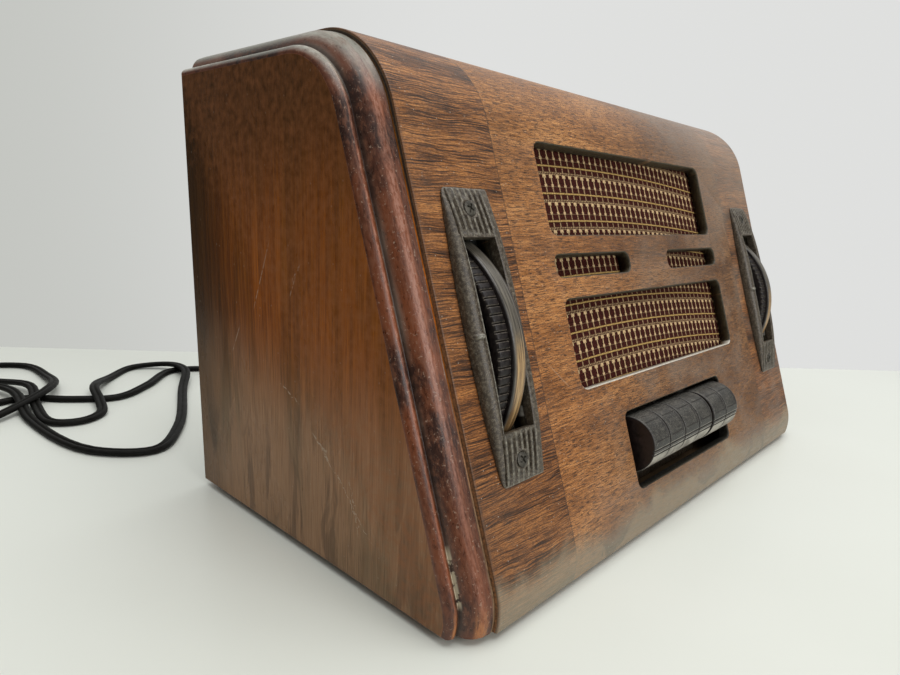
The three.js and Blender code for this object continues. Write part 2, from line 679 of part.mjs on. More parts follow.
const ON_FLOOR = CORD_DIAMETER / 2 + 0.6;
const OVER = ON_FLOOR + CORD_DIAMETER + 0.9; // height where the cord crosses over itself
const coilEntry = 24; // the cord stops this far before it touches the coil's ring
const ROUTE = [
  [GROMMET.x, BACK_Y + GROMMET.sleeve + GAP, GROMMET.z],
  [-52, 138, 22],
  [-52, 170, 9],
  [-52, 202, 5],
  [-53, 240, ON_FLOOR],
  [-66, 272, ON_FLOOR],
  [-89, 282, ON_FLOOR],
  [-118, 255, ON_FLOOR],
  [-143, 239, ON_FLOOR],
  [-166, 251, ON_FLOOR],
  [-188, 270, ON_FLOOR],
  [-215, 268, ON_FLOOR],
  [-242, 281, ON_FLOOR],
  [-243, 306, ON_FLOOR],
  [-221, 317, 5],
  [-199, 303, 8],
  [-192, 274, OVER],
  [-196, 224, ON_FLOOR],
  [-186, 155, ON_FLOOR],
  [-162, 136, ON_FLOOR],
  [-139, 160, ON_FLOOR],
  [-104, 230, 6],
  [-86, 266, OVER],
  [-87, 294, 8],
  [-107, 308, ON_FLOOR],
  [-129, 290, ON_FLOOR],
  [-150, 259, OVER],
  [-156, 232, 7],
  [-162, 213, ON_FLOOR],
  [-175, 205, ON_FLOOR],
  [-188, 212, ON_FLOOR],
  [-187, 248, 5],
  [-181, 284, OVER],
  [-194, 326, ON_FLOOR],
  [-204, 350, ON_FLOOR],
  [-189, 370, ON_FLOOR],
  [-167, 357, ON_FLOOR],
  [-163, 318, 5],
  [-172, 272, 12],
  [-226, 227, 5],
  [COIL.x + coilEntry, COIL.y + COIL.radius, ON_FLOOR],
];
const COIL_TOP = ON_FLOOR + COIL.turns * COIL.pitch;

function cordTube(points, steps) {
  const curve = new THREE.CatmullRomCurve3(points.map((p) => new THREE.Vector3(...p)), false, 'centripetal');
  const section = new THREE.Shape();
  section.absarc(0, 0, CORD_DIAMETER / 2, 0, Math.PI * 2);
  return new THREE.ExtrudeGeometry(section, { steps, extrudePath: curve, curveSegments: 4, bevelEnabled: false });
}
add('mains_cord', cordTube(ROUTE, 80), rubber);

function coilRing() {
  const inner = COIL.radius - CORD_DIAMETER / 2 - 0.6;
  const outer = COIL.radius + CORD_DIAMETER / 2 + 0.6;
  const low = 0.3;
  const high = COIL_TOP + CORD_DIAMETER / 2 + 0.4;
  const ring = turnedAlongZ(
    [
      [inner, low],
      [outer, low],
      [outer, high],
      [inner, high],
      [inner, low],
    ],
    40,
  );
  return ring.translate(COIL.x, COIL.y, 0);
}
add('cord_coil', coilRing(), rubber);

const plugAxis = [PLUG.x, PLUG.radius + 0.2];
const PLUG_TAIL = [
  [PLUG.x, COIL.y - coilEntry, COIL_TOP],
  [PLUG.x, COIL.y - coilEntry - 10, COIL_TOP - 2],
  [PLUG.x, PLUG.y + 12, plugAxis[1]],
  [PLUG.x, PLUG.y + GAP, plugAxis[1]],
];
add('cord_tail', cordTube(PLUG_TAIL, 6), rubber);

function plugBody() {
  const { radius, length, x, y } = PLUG;
  const profile = [
    [0, y - length],
    [radius, y - length],
    [radius, y - length + 14],
    [radius - 2, y - length + 18],
    [radius - 3.5, y - 8],
    [5.5, y],
    [0, y],
  ];
  const points = profile.map(([r, station]) => new THREE.Vector2(r, station));
  return new THREE.LatheGeometry(points, 28).translate(x, 0, plugAxis[1]);
}
add('plug_body', plugBody(), bakelite);
for (const [i, offset] of [-6.3, 6.3].entries()) {
  const end = PLUG.y - PLUG.length - GAP;
  const xs = [PLUG.x + offset - 0.75, PLUG.x + offset + 0.75];
  const zs = [plugAxis[1] - 3.2, plugAxis[1] + 3.2];
  add(`plug_blade_${i + 1}`, box(xs, [end - 17, end], zs), brass);
}

export default radio;
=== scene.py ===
"""Looks for a slant-front wooden table radio with two thumbwheels and six push buttons.

Lengths in this file are millimetres in the row frame (+Z up, the front faces -Y) and turn into
metres only where a mesh, the camera or a light is made.
"""

import math

import bmesh
import bpy
import numpy as np
from mathutils import Matrix, Vector
from mathutils.geometry import delaunay_2d_cdt


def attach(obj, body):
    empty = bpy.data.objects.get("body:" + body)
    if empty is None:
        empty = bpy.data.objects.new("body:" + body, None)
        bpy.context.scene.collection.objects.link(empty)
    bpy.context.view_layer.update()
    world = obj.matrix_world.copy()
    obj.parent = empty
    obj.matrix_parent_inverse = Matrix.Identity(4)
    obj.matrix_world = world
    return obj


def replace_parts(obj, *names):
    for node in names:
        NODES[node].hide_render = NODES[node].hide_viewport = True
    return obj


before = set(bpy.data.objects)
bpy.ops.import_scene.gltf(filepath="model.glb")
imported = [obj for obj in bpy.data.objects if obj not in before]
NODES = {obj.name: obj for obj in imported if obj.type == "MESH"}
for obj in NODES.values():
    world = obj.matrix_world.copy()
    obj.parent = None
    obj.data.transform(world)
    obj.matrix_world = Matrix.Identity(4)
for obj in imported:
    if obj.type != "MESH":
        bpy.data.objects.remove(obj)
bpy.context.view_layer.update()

MM = 0.001

# ---- Driving dimensions, as in the CAD source ----
TOP_RADIUS = 39.1
TOE_RADIUS = 28.4
TOE_CENTRE_HEIGHT = 5.7
LEAN = math.radians(69.7)
SIN, COS = math.sin(LEAN), math.cos(LEAN)
UNDERSIDE = 3.0
FOOT_Y = -87.645
BACK_Y = 83.655
TOP = 188.5
HALF = 160.0
BOARD_THICKNESS = 18.0
SHELL_THICKNESS = 5.0
SHELL_HALF = 145.4
CLOTH_HALF, CLOTH_LOW, CLOTH_HIGH, CLOTH_FACE = 88.0, 60.5, 167.0, -5.9
# The weave: the spacing of the upright threads, the height of one repeat and where the first starts,
# and how the yarns that run across bow down from the middle of the bow.
CLOTH_PITCH = 4.72
REPEAT, REPEAT_START = 11.5, -36.1
BOW, BOW_MIDDLE, BOW_DROP = 4.53e-4, -33.0, 0.49
WHEEL_X = 123.0
WHEEL_UP = 95.0
WHEEL_Y = -19.984
WHEEL_Z = 79.263
SCREW_OFFSET = 42.5
GROMMET_X, GROMMET_Z = -52.0, 34.0
SLEEVE_END_Y = BACK_Y + 25.3
CORD_WIDTH = 6.0
COIL_X, COIL_Y, COIL_RADIUS, COIL_TURNS = -276.0, 188.0, 36.0, 2.25
PLUG_X, PLUG_Y, PLUG_Z = -312.0, 126.0, 11.7


# ---- Camera ----
def place_camera():
    yaw, pitch, roll = (math.radians(a) for a in (-47.10, -15.43, 2.80))
    forward = Vector((-math.sin(yaw) * math.cos(pitch), math.cos(yaw) * math.cos(pitch), math.sin(pitch)))
    level = Vector((math.cos(yaw), math.sin(yaw), 0))
    upright = level.cross(forward)
    right = math.cos(roll) * level + math.sin(roll) * upright
    up = -math.sin(roll) * level + math.cos(roll) * upright
    data = bpy.data.cameras.new("camera")
    data.sensor_width = 36.0
    data.lens = 25.434
    data.shift_x, data.shift_y = 0.0014, 0.0453
    data.clip_start, data.clip_end = 0.02, 20
    camera = bpy.data.objects.new("camera", data)
    bpy.context.scene.collection.objects.link(camera)
    turn = Matrix((right, up, -forward)).transposed().to_4x4()
    camera.matrix_world = Matrix.Translation(Vector((-285.21, -187.01, 134.27)) * MM) @ turn
    bpy.context.scene.camera = camera


place_camera()


# ---- Materials ----
class Field:
    """A value or colour that varies over a surface. Arithmetic on it adds one node per step."""

    def __init__(self, paint, socket):
        self.paint, self.socket = paint, socket

    def __add__(self, other):
        return self.paint.math("ADD", self, other)

    def __sub__(self, other):
        return self.paint.math("SUBTRACT", self, other)

    def __mul__(self, other):
        return self.paint.math("MULTIPLY", self, other)

    def __abs__(self):
        return self.paint.math("ABSOLUTE", self)


def opaque(colour):
    return (*colour, 1.0) if isinstance(colour, tuple) else colour


class Paint:
    """A material, or the world, being built. Most methods add one node and return its Field."""

    def __init__(self, name, tree=None):
        if tree is None:
            self.material = bpy.data.materials.new(name)
            self.material.use_nodes = True
            tree = self.material.node_tree
        self.tree = tree
        self.tree.nodes.clear()

    def node(self, kind, inputs, **settings):
        made = self.tree.nodes.new(kind)
        for key, value in settings.items():
            setattr(made, key, value)
        for key, value in inputs.items():
            if isinstance(value, Field):
                self.tree.links.new(value.socket, made.inputs[key])
            elif value is not None:
                made.inputs[key].default_value = value
        return made

    def field(self, kind, inputs, output=0, **settings):
        return Field(self, self.node(kind, inputs, **settings).outputs[output])

    def position(self):
        """Rest position of the surface in millimetres."""
        return self.scaled(self.field("ShaderNodeTexCoord", {}, "Object"), 1000)

    def uv(self):
        return self.field("ShaderNodeUVMap", {}, uv_map="UVMap")

    def scaled(self, vector, scale):
        factors = scale if isinstance(scale, tuple) else (scale, scale, scale)
        return self.field("ShaderNodeVectorMath", {0: vector, 1: factors}, operation="MULTIPLY")

    def split(self, vector):
        made = self.node("ShaderNodeSeparateXYZ", {0: vector})
        return [Field(self, socket) for socket in made.outputs]

    def normal_up(self):
        return self.split(self.field("ShaderNodeNewGeometry", {}, "Normal"))[2]

    def attribute(self, name):
        return self.field("ShaderNodeAttribute", {}, "Fac", attribute_name=name)

    def texture(self, vector, detail=4.0, roughness=0.55, distortion=0.0):
        inputs = {"Vector": vector, "Scale": 1.0, "Detail": detail}
        inputs.update({"Roughness": roughness, "Distortion": distortion})
        return self.field("ShaderNodeTexNoise", inputs)

    def noise(self, vector, scale, *settings):
        return self.texture(self.scaled(vector, scale), *settings)

    def grain(self, x, y, stretch, *settings):
        """Noise over two coordinates, each with its own scale, cut at the third number."""
        inputs = {0: x * stretch[0], 1: y * stretch[1], 2: stretch[2]}
        return self.texture(self.field("ShaderNodeCombineXYZ", inputs), *settings)

    def cells(self, vector, scale):
        inputs = {"Vector": self.scaled(vector, scale), "Scale": 1.0}
        return self.field("ShaderNodeTexVoronoi", inputs, "Distance")

    def math(self, operation, a, b=None, clamp=False):
        return self.field("ShaderNodeMath", {0: a, 1: b}, operation=operation, use_clamp=clamp)

    def span(self, value, low, high, to_low=0.0, to_high=1.0):
        """value from low..high to to_low..to_high, smoothly, and held at the ends. It falls from
        to_high to to_low where low is the greater."""
        if low > high:
            low, high, to_low, to_high = high, low, to_high, to_low
        inputs = {0: value, 1: low, 2: high, 3: to_low, 4: to_high}
        return self.field("ShaderNodeMapRange", inputs, interpolation_type="SMOOTHSTEP")

    def most(self, *values):
        total = values[0]
        for value in values[1:]:
            total = self.math("MAXIMUM", total, value)
        return total

    def mix(self, share, a, b, blend="MIX"):
        inputs = {0: share, 6: opaque(a), 7: opaque(b)}
        return self.field("ShaderNodeMix", inputs, 2, data_type="RGBA", blend_type=blend)

    def tint(self, colour, factors):
        return self.mix(1.0, colour, factors, "MULTIPLY")

    def ramp(self, value, stops):
        made = self.node("ShaderNodeValToRGB", {0: value})
        elements = made.color_ramp.elements
        while len(elements) < len(stops):
            elements.new(0.5)
        for element, (place, colour) in zip(elements, stops):
            element.position = place
            element.color = opaque(colour)
        return Field(self, made.outputs[0])

    def bump(self, height, distance, strength=1.0):
        """distance is the relief in millimetres."""
        inputs = {"Height": height, "Distance": distance * MM, "Strength": strength}
        return self.field("ShaderNodeBump", inputs)

    def finish(self, colour, roughness, normal, specular=None, coat=(None, None), **extra):
        inputs = {"Base Color": colour, "Roughness": roughness, "Normal": normal}
        inputs.update({"Specular IOR Level": specular, "Coat Weight": coat[0], "Coat Roughness": coat[1]})
        shader = self.field("ShaderNodeBsdfPrincipled", {**inputs, **extra})
        self.node("ShaderNodeOutputMaterial", {"Surface": shader})
        return self.material


def scratch(paint, across, along, start, end, width):
    """Mask of a fine straight scratch between two (across, along) points."""
    run = (end[0] - start[0], end[1] - start[1])
    length = math.hypot(*run)
    unit = (run[0] / length, run[1] / length)
    u = across - start[0]
    v = along - start[1]
    forward = u * unit[0] + v * unit[1]
    side = u * unit[1] - v * unit[0]
    thin = paint.span(abs(side), width * 0.4, width, 1.0, 0.0)
    begun = paint.span(forward, 0, length * 0.25)
    ended = paint.span(forward, length * 0.8, length, 1.0, 0.0)
    return thin * begun * ended


def lacquered_board():
    p = Paint("lacquered_board")
    place = p.position()
    y, z = p.split(place)[1:]
    broad = p.noise(place, (0.05, 0.05, 0.009), 5, 0.55, 0.6)
    streak = p.noise(place, (0.5, 0.5, 0.012), 6, 0.6, 0.3)
    fine = p.noise(place, (2.4, 2.4, 0.05), 4, 0.6)
    pores = p.span(p.noise(place, (2.2, 2.2, 0.05), 3, 0.6), 0.54, 0.62)
    figure = streak * 0.6 + fine * 0.4
    tones = [(0.38, (0.06, 0.019, 0.003)), (0.5, (0.102, 0.033, 0.005)), (0.62, (0.16, 0.056, 0.009))]
    base = p.ramp(figure, tones)
    # Painted light: the middle of the board toward the front is brightened and warmed.
    painted_light_patch = p.span(z, 10, 60) * p.span(z, 175, 110) * p.span(y, 75, 20)
    warm = p.mix(painted_light_patch, base, p.tint(base, (2.9, 2.4, 1.7)))
    # Painted reflection: a paler, greyer patch low on the board, its upper edge wavy.
    low = p.span(z + broad * 40.0, 112, 64)
    painted_reflection_grey = p.mix(p.span(fine, 0.35, 0.65), (0.325, 0.188, 0.104), (0.415, 0.255, 0.15))
    warm = p.mix(low * 0.85, warm, painted_reflection_grey)
    clouded = p.mix(p.span(broad, 0.45, 0.62, 0.0, 0.6), warm, p.tint(warm, (0.48, 0.6, 0.62)))
    olive = p.most(p.span(z, 125, 182, 0.0, 0.75), p.span(y, 50, 84, 0.0, 0.55))
    clouded = p.mix(olive, clouded, (0.034, 0.019, 0.0065))
    stain = p.noise(place, (0.09, 0.09, 0.016), 4, 0.6, 0.8)
    stained = p.span(stain, 0.53, 0.6) * p.span(z, 75, 20)
    clouded = p.mix(stained * 0.42, clouded, (0.04, 0.027, 0.019))
    dark = p.mix(pores * 0.32, clouded, (0.028, 0.01, 0.005))
    wriggle = p.noise(place, 0.22, 4, 0.6)
    wavy = y + (wriggle - 0.5) * 9.0
    marks = p.most(
        scratch(p, wavy, z, (-6, 52), (-40, 20), 0.4), scratch(p, wavy, z, (-26, 42), (-32, 20), 0.5),
        scratch(p, wavy, z, (2, 60), (16, 66), 0.35), scratch(p, wavy, z, (-14, 46), (-4, 52), 0.5),
        scratch(p, y, z, (20, 120), (34, 90), 0.3), scratch(p, y, z, (4, 108), (10, 96), 0.3),
        scratch(p, wavy, z, (2, 112), (6, 104), 0.4), scratch(p, y, z, (44, 84), (52, 70), 0.25)
    )
    broken = p.span(p.noise(place, 0.5, 3), 0.42, 0.55)
    marked = p.mix(marks * broken * 0.7, dark, (0.5, 0.4, 0.3))
    specks = p.span(p.cells(place, 0.2), 0.09, 0.04)
    coloured = p.mix(specks * 0.3, marked, (0.42, 0.33, 0.25))
    edge = p.attribute("wear_and_shading")
    rubbed = p.span(edge + p.noise(place, 0.3, 4) * 0.5, 0.95, 1.35)
    coloured = p.mix(rubbed * 0.7, coloured, (0.34, 0.13, 0.05))
    height = fine * 0.5 + pores * -0.6
    normal = p.bump(height, 0.08, 0.5)
    rough = p.span(p.noise(place, (0.06, 0.06, 0.03), 4), 0.3, 0.7, 0.24, 0.42)
    return p.finish(coloured, rough, normal, specular=0.07, coat=(0.02, 0.14))


def moulding_lacquer():
    p = Paint("moulding_lacquer")
    place = p.position()
    x, y, z = p.split(place)
    wear_and_shading = p.attribute("wear_and_shading")
    patch = p.noise(place, (0.05, 0.018, 0.018), 5, 0.62, 0.6)
    fine = p.noise(place, (1.4, 0.35, 0.35), 5, 0.68)
    base = p.mix(p.span(patch, 0.4, 0.6), (0.034, 0.011, 0.006), (0.155, 0.041, 0.0125))
    base = p.mix(p.span(fine, 0.48, 0.62) * 0.6, base, (0.165, 0.06, 0.028))
    base = p.mix(p.span(fine, 0.47, 0.36) * 0.45, base, (0.018, 0.008, 0.005))
    drive = wear_and_shading + (patch - 0.5) * 1.6
    rubbed = p.span(drive, 0.45, 1.1)
    base = p.mix(rubbed * 0.55, base, (0.29, 0.078, 0.024))
    # Painted highlight: a pale pink streak along the crests of the bead and the round, broken by the grain
    # and weaker low down.
    crest = p.span(wear_and_shading, 0.62, 0.95) * p.span(fine, 0.42, 0.56, 0.1, 1.0)
    crest = crest * p.span(patch, 0.36, 0.6, 0.35, 1.0)
    base = p.mix(crest * p.span(z, 20, 100, 0.3, 0.72), base, (0.42, 0.2, 0.135))
    scuffs = p.span(p.noise(place, 0.9, 3, 0.7), 0.6, 0.68)
    base = p.mix(scuffs * 0.55, base, (0.36, 0.25, 0.18))
    toe = p.span(z, 16, 5) * p.span(wear_and_shading, 0.2, 0.7) * p.span(fine, 0.3, 0.6)
    base = p.mix(toe * 0.8, base, (0.42, 0.16, 0.045))
    up = p.span(p.normal_up(), 0.35, 0.85)
    grime = p.span(wear_and_shading, -0.3, -0.95) * p.span(patch, 0.4, 0.6) * 0.35
    dusty = p.most(up * p.span(fine, 0.3, 0.6, 0.45, 0.92), grime)
    dusted = p.mix(dusty, base, p.mix(p.span(patch, 0.5, 0.66), (0.235, 0.235, 0.19), (0.52, 0.53, 0.46)))
    # Painted shade: near black in the valleys, weaker on the inner valley low down.
    inner = p.span(abs(x), HALF - 10, HALF - 11) * p.span(z, 150, 90)
    groove = p.span(wear_and_shading, -0.5, -1.0) * p.span(inner, 0, 1, 0.7, 0.1)
    shaded = p.mix(groove, dusted, (0.014, 0.008, 0.006))
    outer = p.span(abs(x), HALF - 5.6, HALF - 5.2)
    bare = outer * p.span(wear_and_shading, -0.6, -0.85) * p.span(z, 12, 15) * p.span(z, 34, 28) * p.span(y, -60, -70)
    bare = bare * p.span(p.noise(place, 0.3, 4, 0.6), 0.42, 0.5)
    shaded = p.mix(bare * 0.85, shaded, (0.5, 0.43, 0.3))
    normal = p.bump(fine, 0.2, 0.7)
    rough = p.span(fine, 0.3, 0.7, 0.26, 0.48)
    return p.finish(shaded, rough, normal, specular=0.4, coat=(0.15, 0.2))


def front_veneer():
    p = Paint("front_veneer")
    flat = p.uv()
    x, s = p.split(flat)[:2]
    reach = abs(x)
    bands = p.grain(x, s, (0.012, 0.06, 1.0), 4, 0.55, 0.4)
    grain = p.grain(x, s, (0.1, 1.0, 2.0), 5, 0.6, 0.2)
    dashes = p.grain(x, s, (0.22, 2.4, 3.0), 3, 0.6)
    pores = p.span(dashes, 0.53, 0.57)
    tone = bands * 0.45 + grain * 0.55
    tones = [(0.4, (0.18, 0.068, 0.019)), (0.5, (0.345, 0.14, 0.041)), (0.6, (0.51, 0.23, 0.075))]
    middle = p.ramp(tone, tones)
    middle = p.mix(pores * 0.78, middle, (0.04, 0.017, 0.009))
    tooth = p.span(p.grain(x, s, (0.9, 3.4, 11.0), 3, 0.7), 0.38, 0.62)
    shade = x + s * -0.5
    middle = p.mix(p.span(shade, -130, -20), middle, p.tint(middle, (0.54, 0.57, 0.64)))
    swing = p.grain(x, s, (0.022, 0.05, 8.0), 3, 0.5)
    level = s + swing * 8.0
    wide = p.grain(x, level, (0.014, 0.13, 5.0), 4, 0.6, 0.2)
    lines = p.grain(x, level, (0.055, 2.1, 6.0), 4, 0.66)
    figure = wide * 0.34 + lines * 0.66
    tones = [(0.41, (0.024, 0.011, 0.006)), (0.47, (0.125, 0.047, 0.015)), (0.52, (0.3, 0.115, 0.034))]
    outer = p.ramp(figure, [*tones, (0.61, (0.48, 0.205, 0.06))])
    outer = p.mix(pores * 0.55, outer, (0.05, 0.022, 0.012))
    outer = p.mix(p.span(s, 90, 30, 0.0, 0.5), outer, p.tint(outer, (0.6, 0.62, 0.68)))
    seam = p.span(reach, 101.0, 101.4)
    colour = p.mix(seam, middle, outer)
    line = p.span(abs(reach - 101.2), 0.3, 0.12)
    colour = p.mix(line * 0.7, colour, (0.05, 0.025, 0.014))
    colour = p.tint(colour, p.mix(tooth, (0.66, 0.62, 0.58), (1.25, 1.25, 1.25)))
    # Paler and greyer toward the top and the top right: a dust film and a painted sheen.
    upper = p.span(s, 60, 190, 0.0, 0.5)
    colour = p.mix(upper, colour, p.tint(colour, (1.05, 1.22, 1.5)))
    colour = p.mix(p.span(x, 10, 110) * p.span(s, 110, 180) * 0.4, colour, (0.4, 0.32, 0.26))
    blotch = p.grain(x, s, (0.035, 0.035, 9.0), 5, 0.65, 0.5)
    foot = s + (blotch - 0.5) * 34.0
    worn = p.span(foot, 22, 8)
    colour = p.mix(worn * 0.62, colour, (0.34, 0.29, 0.2))
    colour = p.mix(p.span(foot, 16, 8) * p.span(blotch, 0.56, 0.6) * 0.6, colour, (0.1, 0.1, 0.075))
    film = p.span(blotch, 0.4, 0.68, 0.1, 0.42) * p.span(shade, -130, -40, 0.15, 1.0)
    colour = p.mix(film, colour, (0.245, 0.198, 0.155))
    rim = p.span(reach + blotch * 1.4, 144.9, 145.9)
    colour = p.mix(rim * 0.55, colour, (0.11, 0.06, 0.034))
    dust = p.span(p.cells(flat, (0.34, 0.34, 1)), 0.1, 0.05)
    colour = p.mix(dust * 0.5, colour, (0.55, 0.5, 0.42))
    scuff = p.most(
        scratch(p, x, s, (-96, 82), (-84, 70), 0.3), scratch(p, x, s, (96, 140), (104, 120), 0.3)
    )
    colour = p.mix(scuff * 0.3, colour, (0.45, 0.37, 0.28))
    height = grain * 0.4 - pores
    normal = p.bump(height, 0.1, 0.55)
    rough = p.span(grain, 0.3, 0.7, 0.34, 0.5)
    return p.finish(colour, rough, normal, specular=0.3, coat=(0.05, 0.25))


def ply_edge():
    p = Paint("ply_edge")
    place = p.position()
    depth = p.attribute("ply")
    layers = p.math("SINE", depth * 3.7)
    fine = p.noise(place, 0.9, 5, 0.65)
    colour = p.mix(p.span(layers, -0.3, 0.3), (0.046, 0.029, 0.018), (0.19, 0.115, 0.058))
    colour = p.mix(p.span(fine, 0.52, 0.66, 0.0, 0.7), colour, (0.15, 0.12, 0.08))
    below = p.span(p.split(place)[2], 90, 140, 0.85, 0.0)
    colour = p.mix(below, colour, p.mix(p.span(fine, 0.35, 0.6), (0.11, 0.048, 0.02), (0.36, 0.155, 0.055)))
    return p.finish(colour, p.span(fine, 0.3, 0.7, 0.55, 0.8), p.bump(fine, 0.2, 0.6))


def cut_edge():
    """Stained edge of a cut-out. The lower window's sill is painted pale: bare, dusty wood with a painted
    highlight where it faces up.
    """
    p = Paint("cut_edge")
    flat = p.uv()
    x, s = p.split(flat)[:2]
    fine = p.noise(p.position(), 0.9, 5, 0.65)
    stained = p.mix(p.span(fine, 0.35, 0.7), (0.03, 0.024, 0.013), (0.085, 0.067, 0.036))
    chips = p.span(p.grain(x, s, (0.11, 0.4, 4.0), 3), 0.64, 0.72)
    stained = p.mix(chips * 0.6, stained, (0.28, 0.15, 0.07))
    # Painted pale along the lower window's sill: dust, and a painted highlight on the face that looks up.
    sill = p.span(abs(s - 67.6), 2.2, 1.4)
    pale = p.mix(p.span(fine, 0.3, 0.7), (0.46, 0.43, 0.36), (0.66, 0.62, 0.54))
    well = p.span(s, 56, 50)
    dark = p.mix(well, stained, p.tint(stained, (0.45, 0.5, 0.6)))
    return p.finish(p.mix(sill, dark, pale), p.span(fine, 0.3, 0.7, 0.4, 0.7), p.bump(fine, 0.15, 0.5))


def woven_grille():
    p = Paint("woven_grille")
    flat = p.uv()
    speck = p.noise(flat, (2.0, 2.0, 1), 4, 0.75)
    wobble = p.noise(flat, (0.35, 0.35, 1), 3, 0.6) - 0.5
    x, s = p.split(flat)[:2]
    x = x + wobble * 0.9
    s = s + wobble * 0.5
    sag = p.math("POWER", abs(x + -BOW_MIDDLE), 2.0) * BOW - BOW_DROP
    t = p.math("FRACT", (s + sag + -REPEAT_START) * (1 / REPEAT))
    u = p.math("FRACT", x * (1 / CLOTH_PITCH))
    quarter = p.math("FRACT", x * (4 / CLOTH_PITCH))
    thread = abs(u - 0.5)
    dot = abs(quarter - 0.5)

    def band(low, high, soft=0.018):
        rising = p.span(t, low - soft, low + soft)
        return rising * p.span(t, high + soft, high - soft)

    upright = p.span(thread, 0.1, 0.055)
    fat = p.span(thread, 0.22, 0.13)
    strand = p.span(abs(p.math("FRACT", x * 0.85) - 0.5), 0.42, 0.3)
    gold = p.most(p.span(t, 0.042, 0.018), p.span(t, 0.958, 0.982))
    gold = gold * p.span(strand, 0.0, 1.0, 0.35, 1.0) * p.span(speck, 0.34, 0.46, 0.45, 1.0)
    broad = p.span(thread, 0.29, 0.19)
    blobs = broad * band(0.565, 0.685)
    dots = fat * band(0.235, 0.335) * 0.95
    tall = upright * band(0.28, 0.62) * 0.8
    faint = upright * p.most(band(0.05, 0.27), band(0.78, 0.95)) * 0.5
    checks = p.span(dot, 0.32, 0.2) * p.most(band(0.675, 0.712, 0.01), band(0.735, 0.772, 0.01)) * 0.8
    rows = p.most(band(0.245, 0.262, 0.01), band(0.775, 0.79, 0.01)) * 0.25
    cream = p.most(blobs, dots, tall, faint, checks, rows)
    lively = p.span(speck, 0.36, 0.58, 0.35, 1.0)
    maroon = p.mix(p.span(speck, 0.4, 0.65), (0.012, 0.0022, 0.0018), (0.085, 0.015, 0.009))
    colour = p.mix(cream * lively, maroon, (0.76, 0.54, 0.29))
    colour = p.mix(gold * p.span(speck, 0.25, 0.5, 0.6, 1.0), colour, (0.56, 0.37, 0.13))
    relief = p.most(cream, gold)
    normal = p.bump(relief + speck * 0.6, 0.25, 0.8)
    return p.finish(colour, 0.9, normal, specular=0.12)


def dusty_moulded():
    p = Paint("dusty_moulded")
    place = p.position()
    wear_and_shading = p.attribute("wear_and_shading")
    fine = p.noise(place, 0.9, 5, 0.7)
    grit = p.span(p.noise(place, 3.2, 2, 0.6), 0.6, 0.72)
    base = p.mix(p.span(fine, 0.35, 0.65), (0.03, 0.021, 0.013), (0.092, 0.068, 0.042))
    pale = p.mix(p.span(fine, 0.4, 0.66), (0.14, 0.132, 0.104), (0.36, 0.35, 0.285))
    lit = p.math("ADD", p.span(wear_and_shading, 0.42, 1.0), (fine - 0.5) * 1.6, clamp=True)
    colour = p.mix(lit * 0.8, base, pale)
    # Painted shade: near black in the grooves, round the counterbore and in the rail's valley.
    colour = p.mix(p.span(wear_and_shading, 0.0, -0.4), colour, (0.005, 0.004, 0.0035))
    colour = p.mix(grit * 0.5, colour, (0.42, 0.4, 0.33))
    normal = p.bump(fine, 0.14, 0.7)
    return p.finish(colour, p.span(fine, 0.3, 0.7, 0.34, 0.6), normal, specular=0.6)


def thumbwheel_drum():
    p = Paint("thumbwheel_drum")
    wear_and_shading = p.attribute("wear_and_shading")
    fine = p.noise(p.position(), 0.9, 5, 0.7)
    base = p.mix(p.span(fine, 0.35, 0.7), (0.005, 0.0036, 0.0034), (0.019, 0.013, 0.012))
    # Painted highlight: paler rib edges, where they catch the light.
    edge = p.span(wear_and_shading, 0.45, 0.95) * p.span(fine, 0.35, 0.6, 0.1, 0.6)
    colour = p.mix(edge, base, (0.2, 0.17, 0.13))
    shine = {"Specular IOR Level": 0.35}
    return p.finish(colour, p.span(fine, 0.3, 0.7, 0.34, 0.55), p.bump(fine, 0.08, 0.5), **shine)


def thumbwheel_band():
    """Smooth band: grey dust over brown, rubbed to a golden shine along one stretch of the rim."""
    p = Paint("thumbwheel_band")
    flat = p.uv()
    around, across = p.split(flat)[:2]
    streaks = p.grain(around, across, (0.05, 1.5, 1.0), 5, 0.65, 0.2)
    fine = p.noise(flat, (0.6, 2.2, 1), 4, 0.7)
    dusty = p.mix(p.span(streaks, 0.35, 0.68), (0.026, 0.021, 0.016), (0.185, 0.165, 0.13))
    golden = p.mix(p.span(streaks, 0.35, 0.66), (0.135, 0.074, 0.03), (0.56, 0.36, 0.16))
    here = p.span(around + fine * 9.0, 3, 17)
    here = here * p.span(around, 66, 52) * p.span(across, -0.4, 1.2) * p.span(across, 6.0, 4.6)
    colour = p.mix(here, dusty, golden)
    rim = p.most(p.span(across, 4.7, 5.2), p.span(across, 0.0, -0.7))
    colour = p.mix(rim * 0.92, colour, (0.012, 0.009, 0.008))
    normal = p.bump(streaks, 0.1, 0.5)
    return p.finish(colour, p.span(fine, 0.3, 0.7, 0.26, 0.46), normal, specular=0.6)


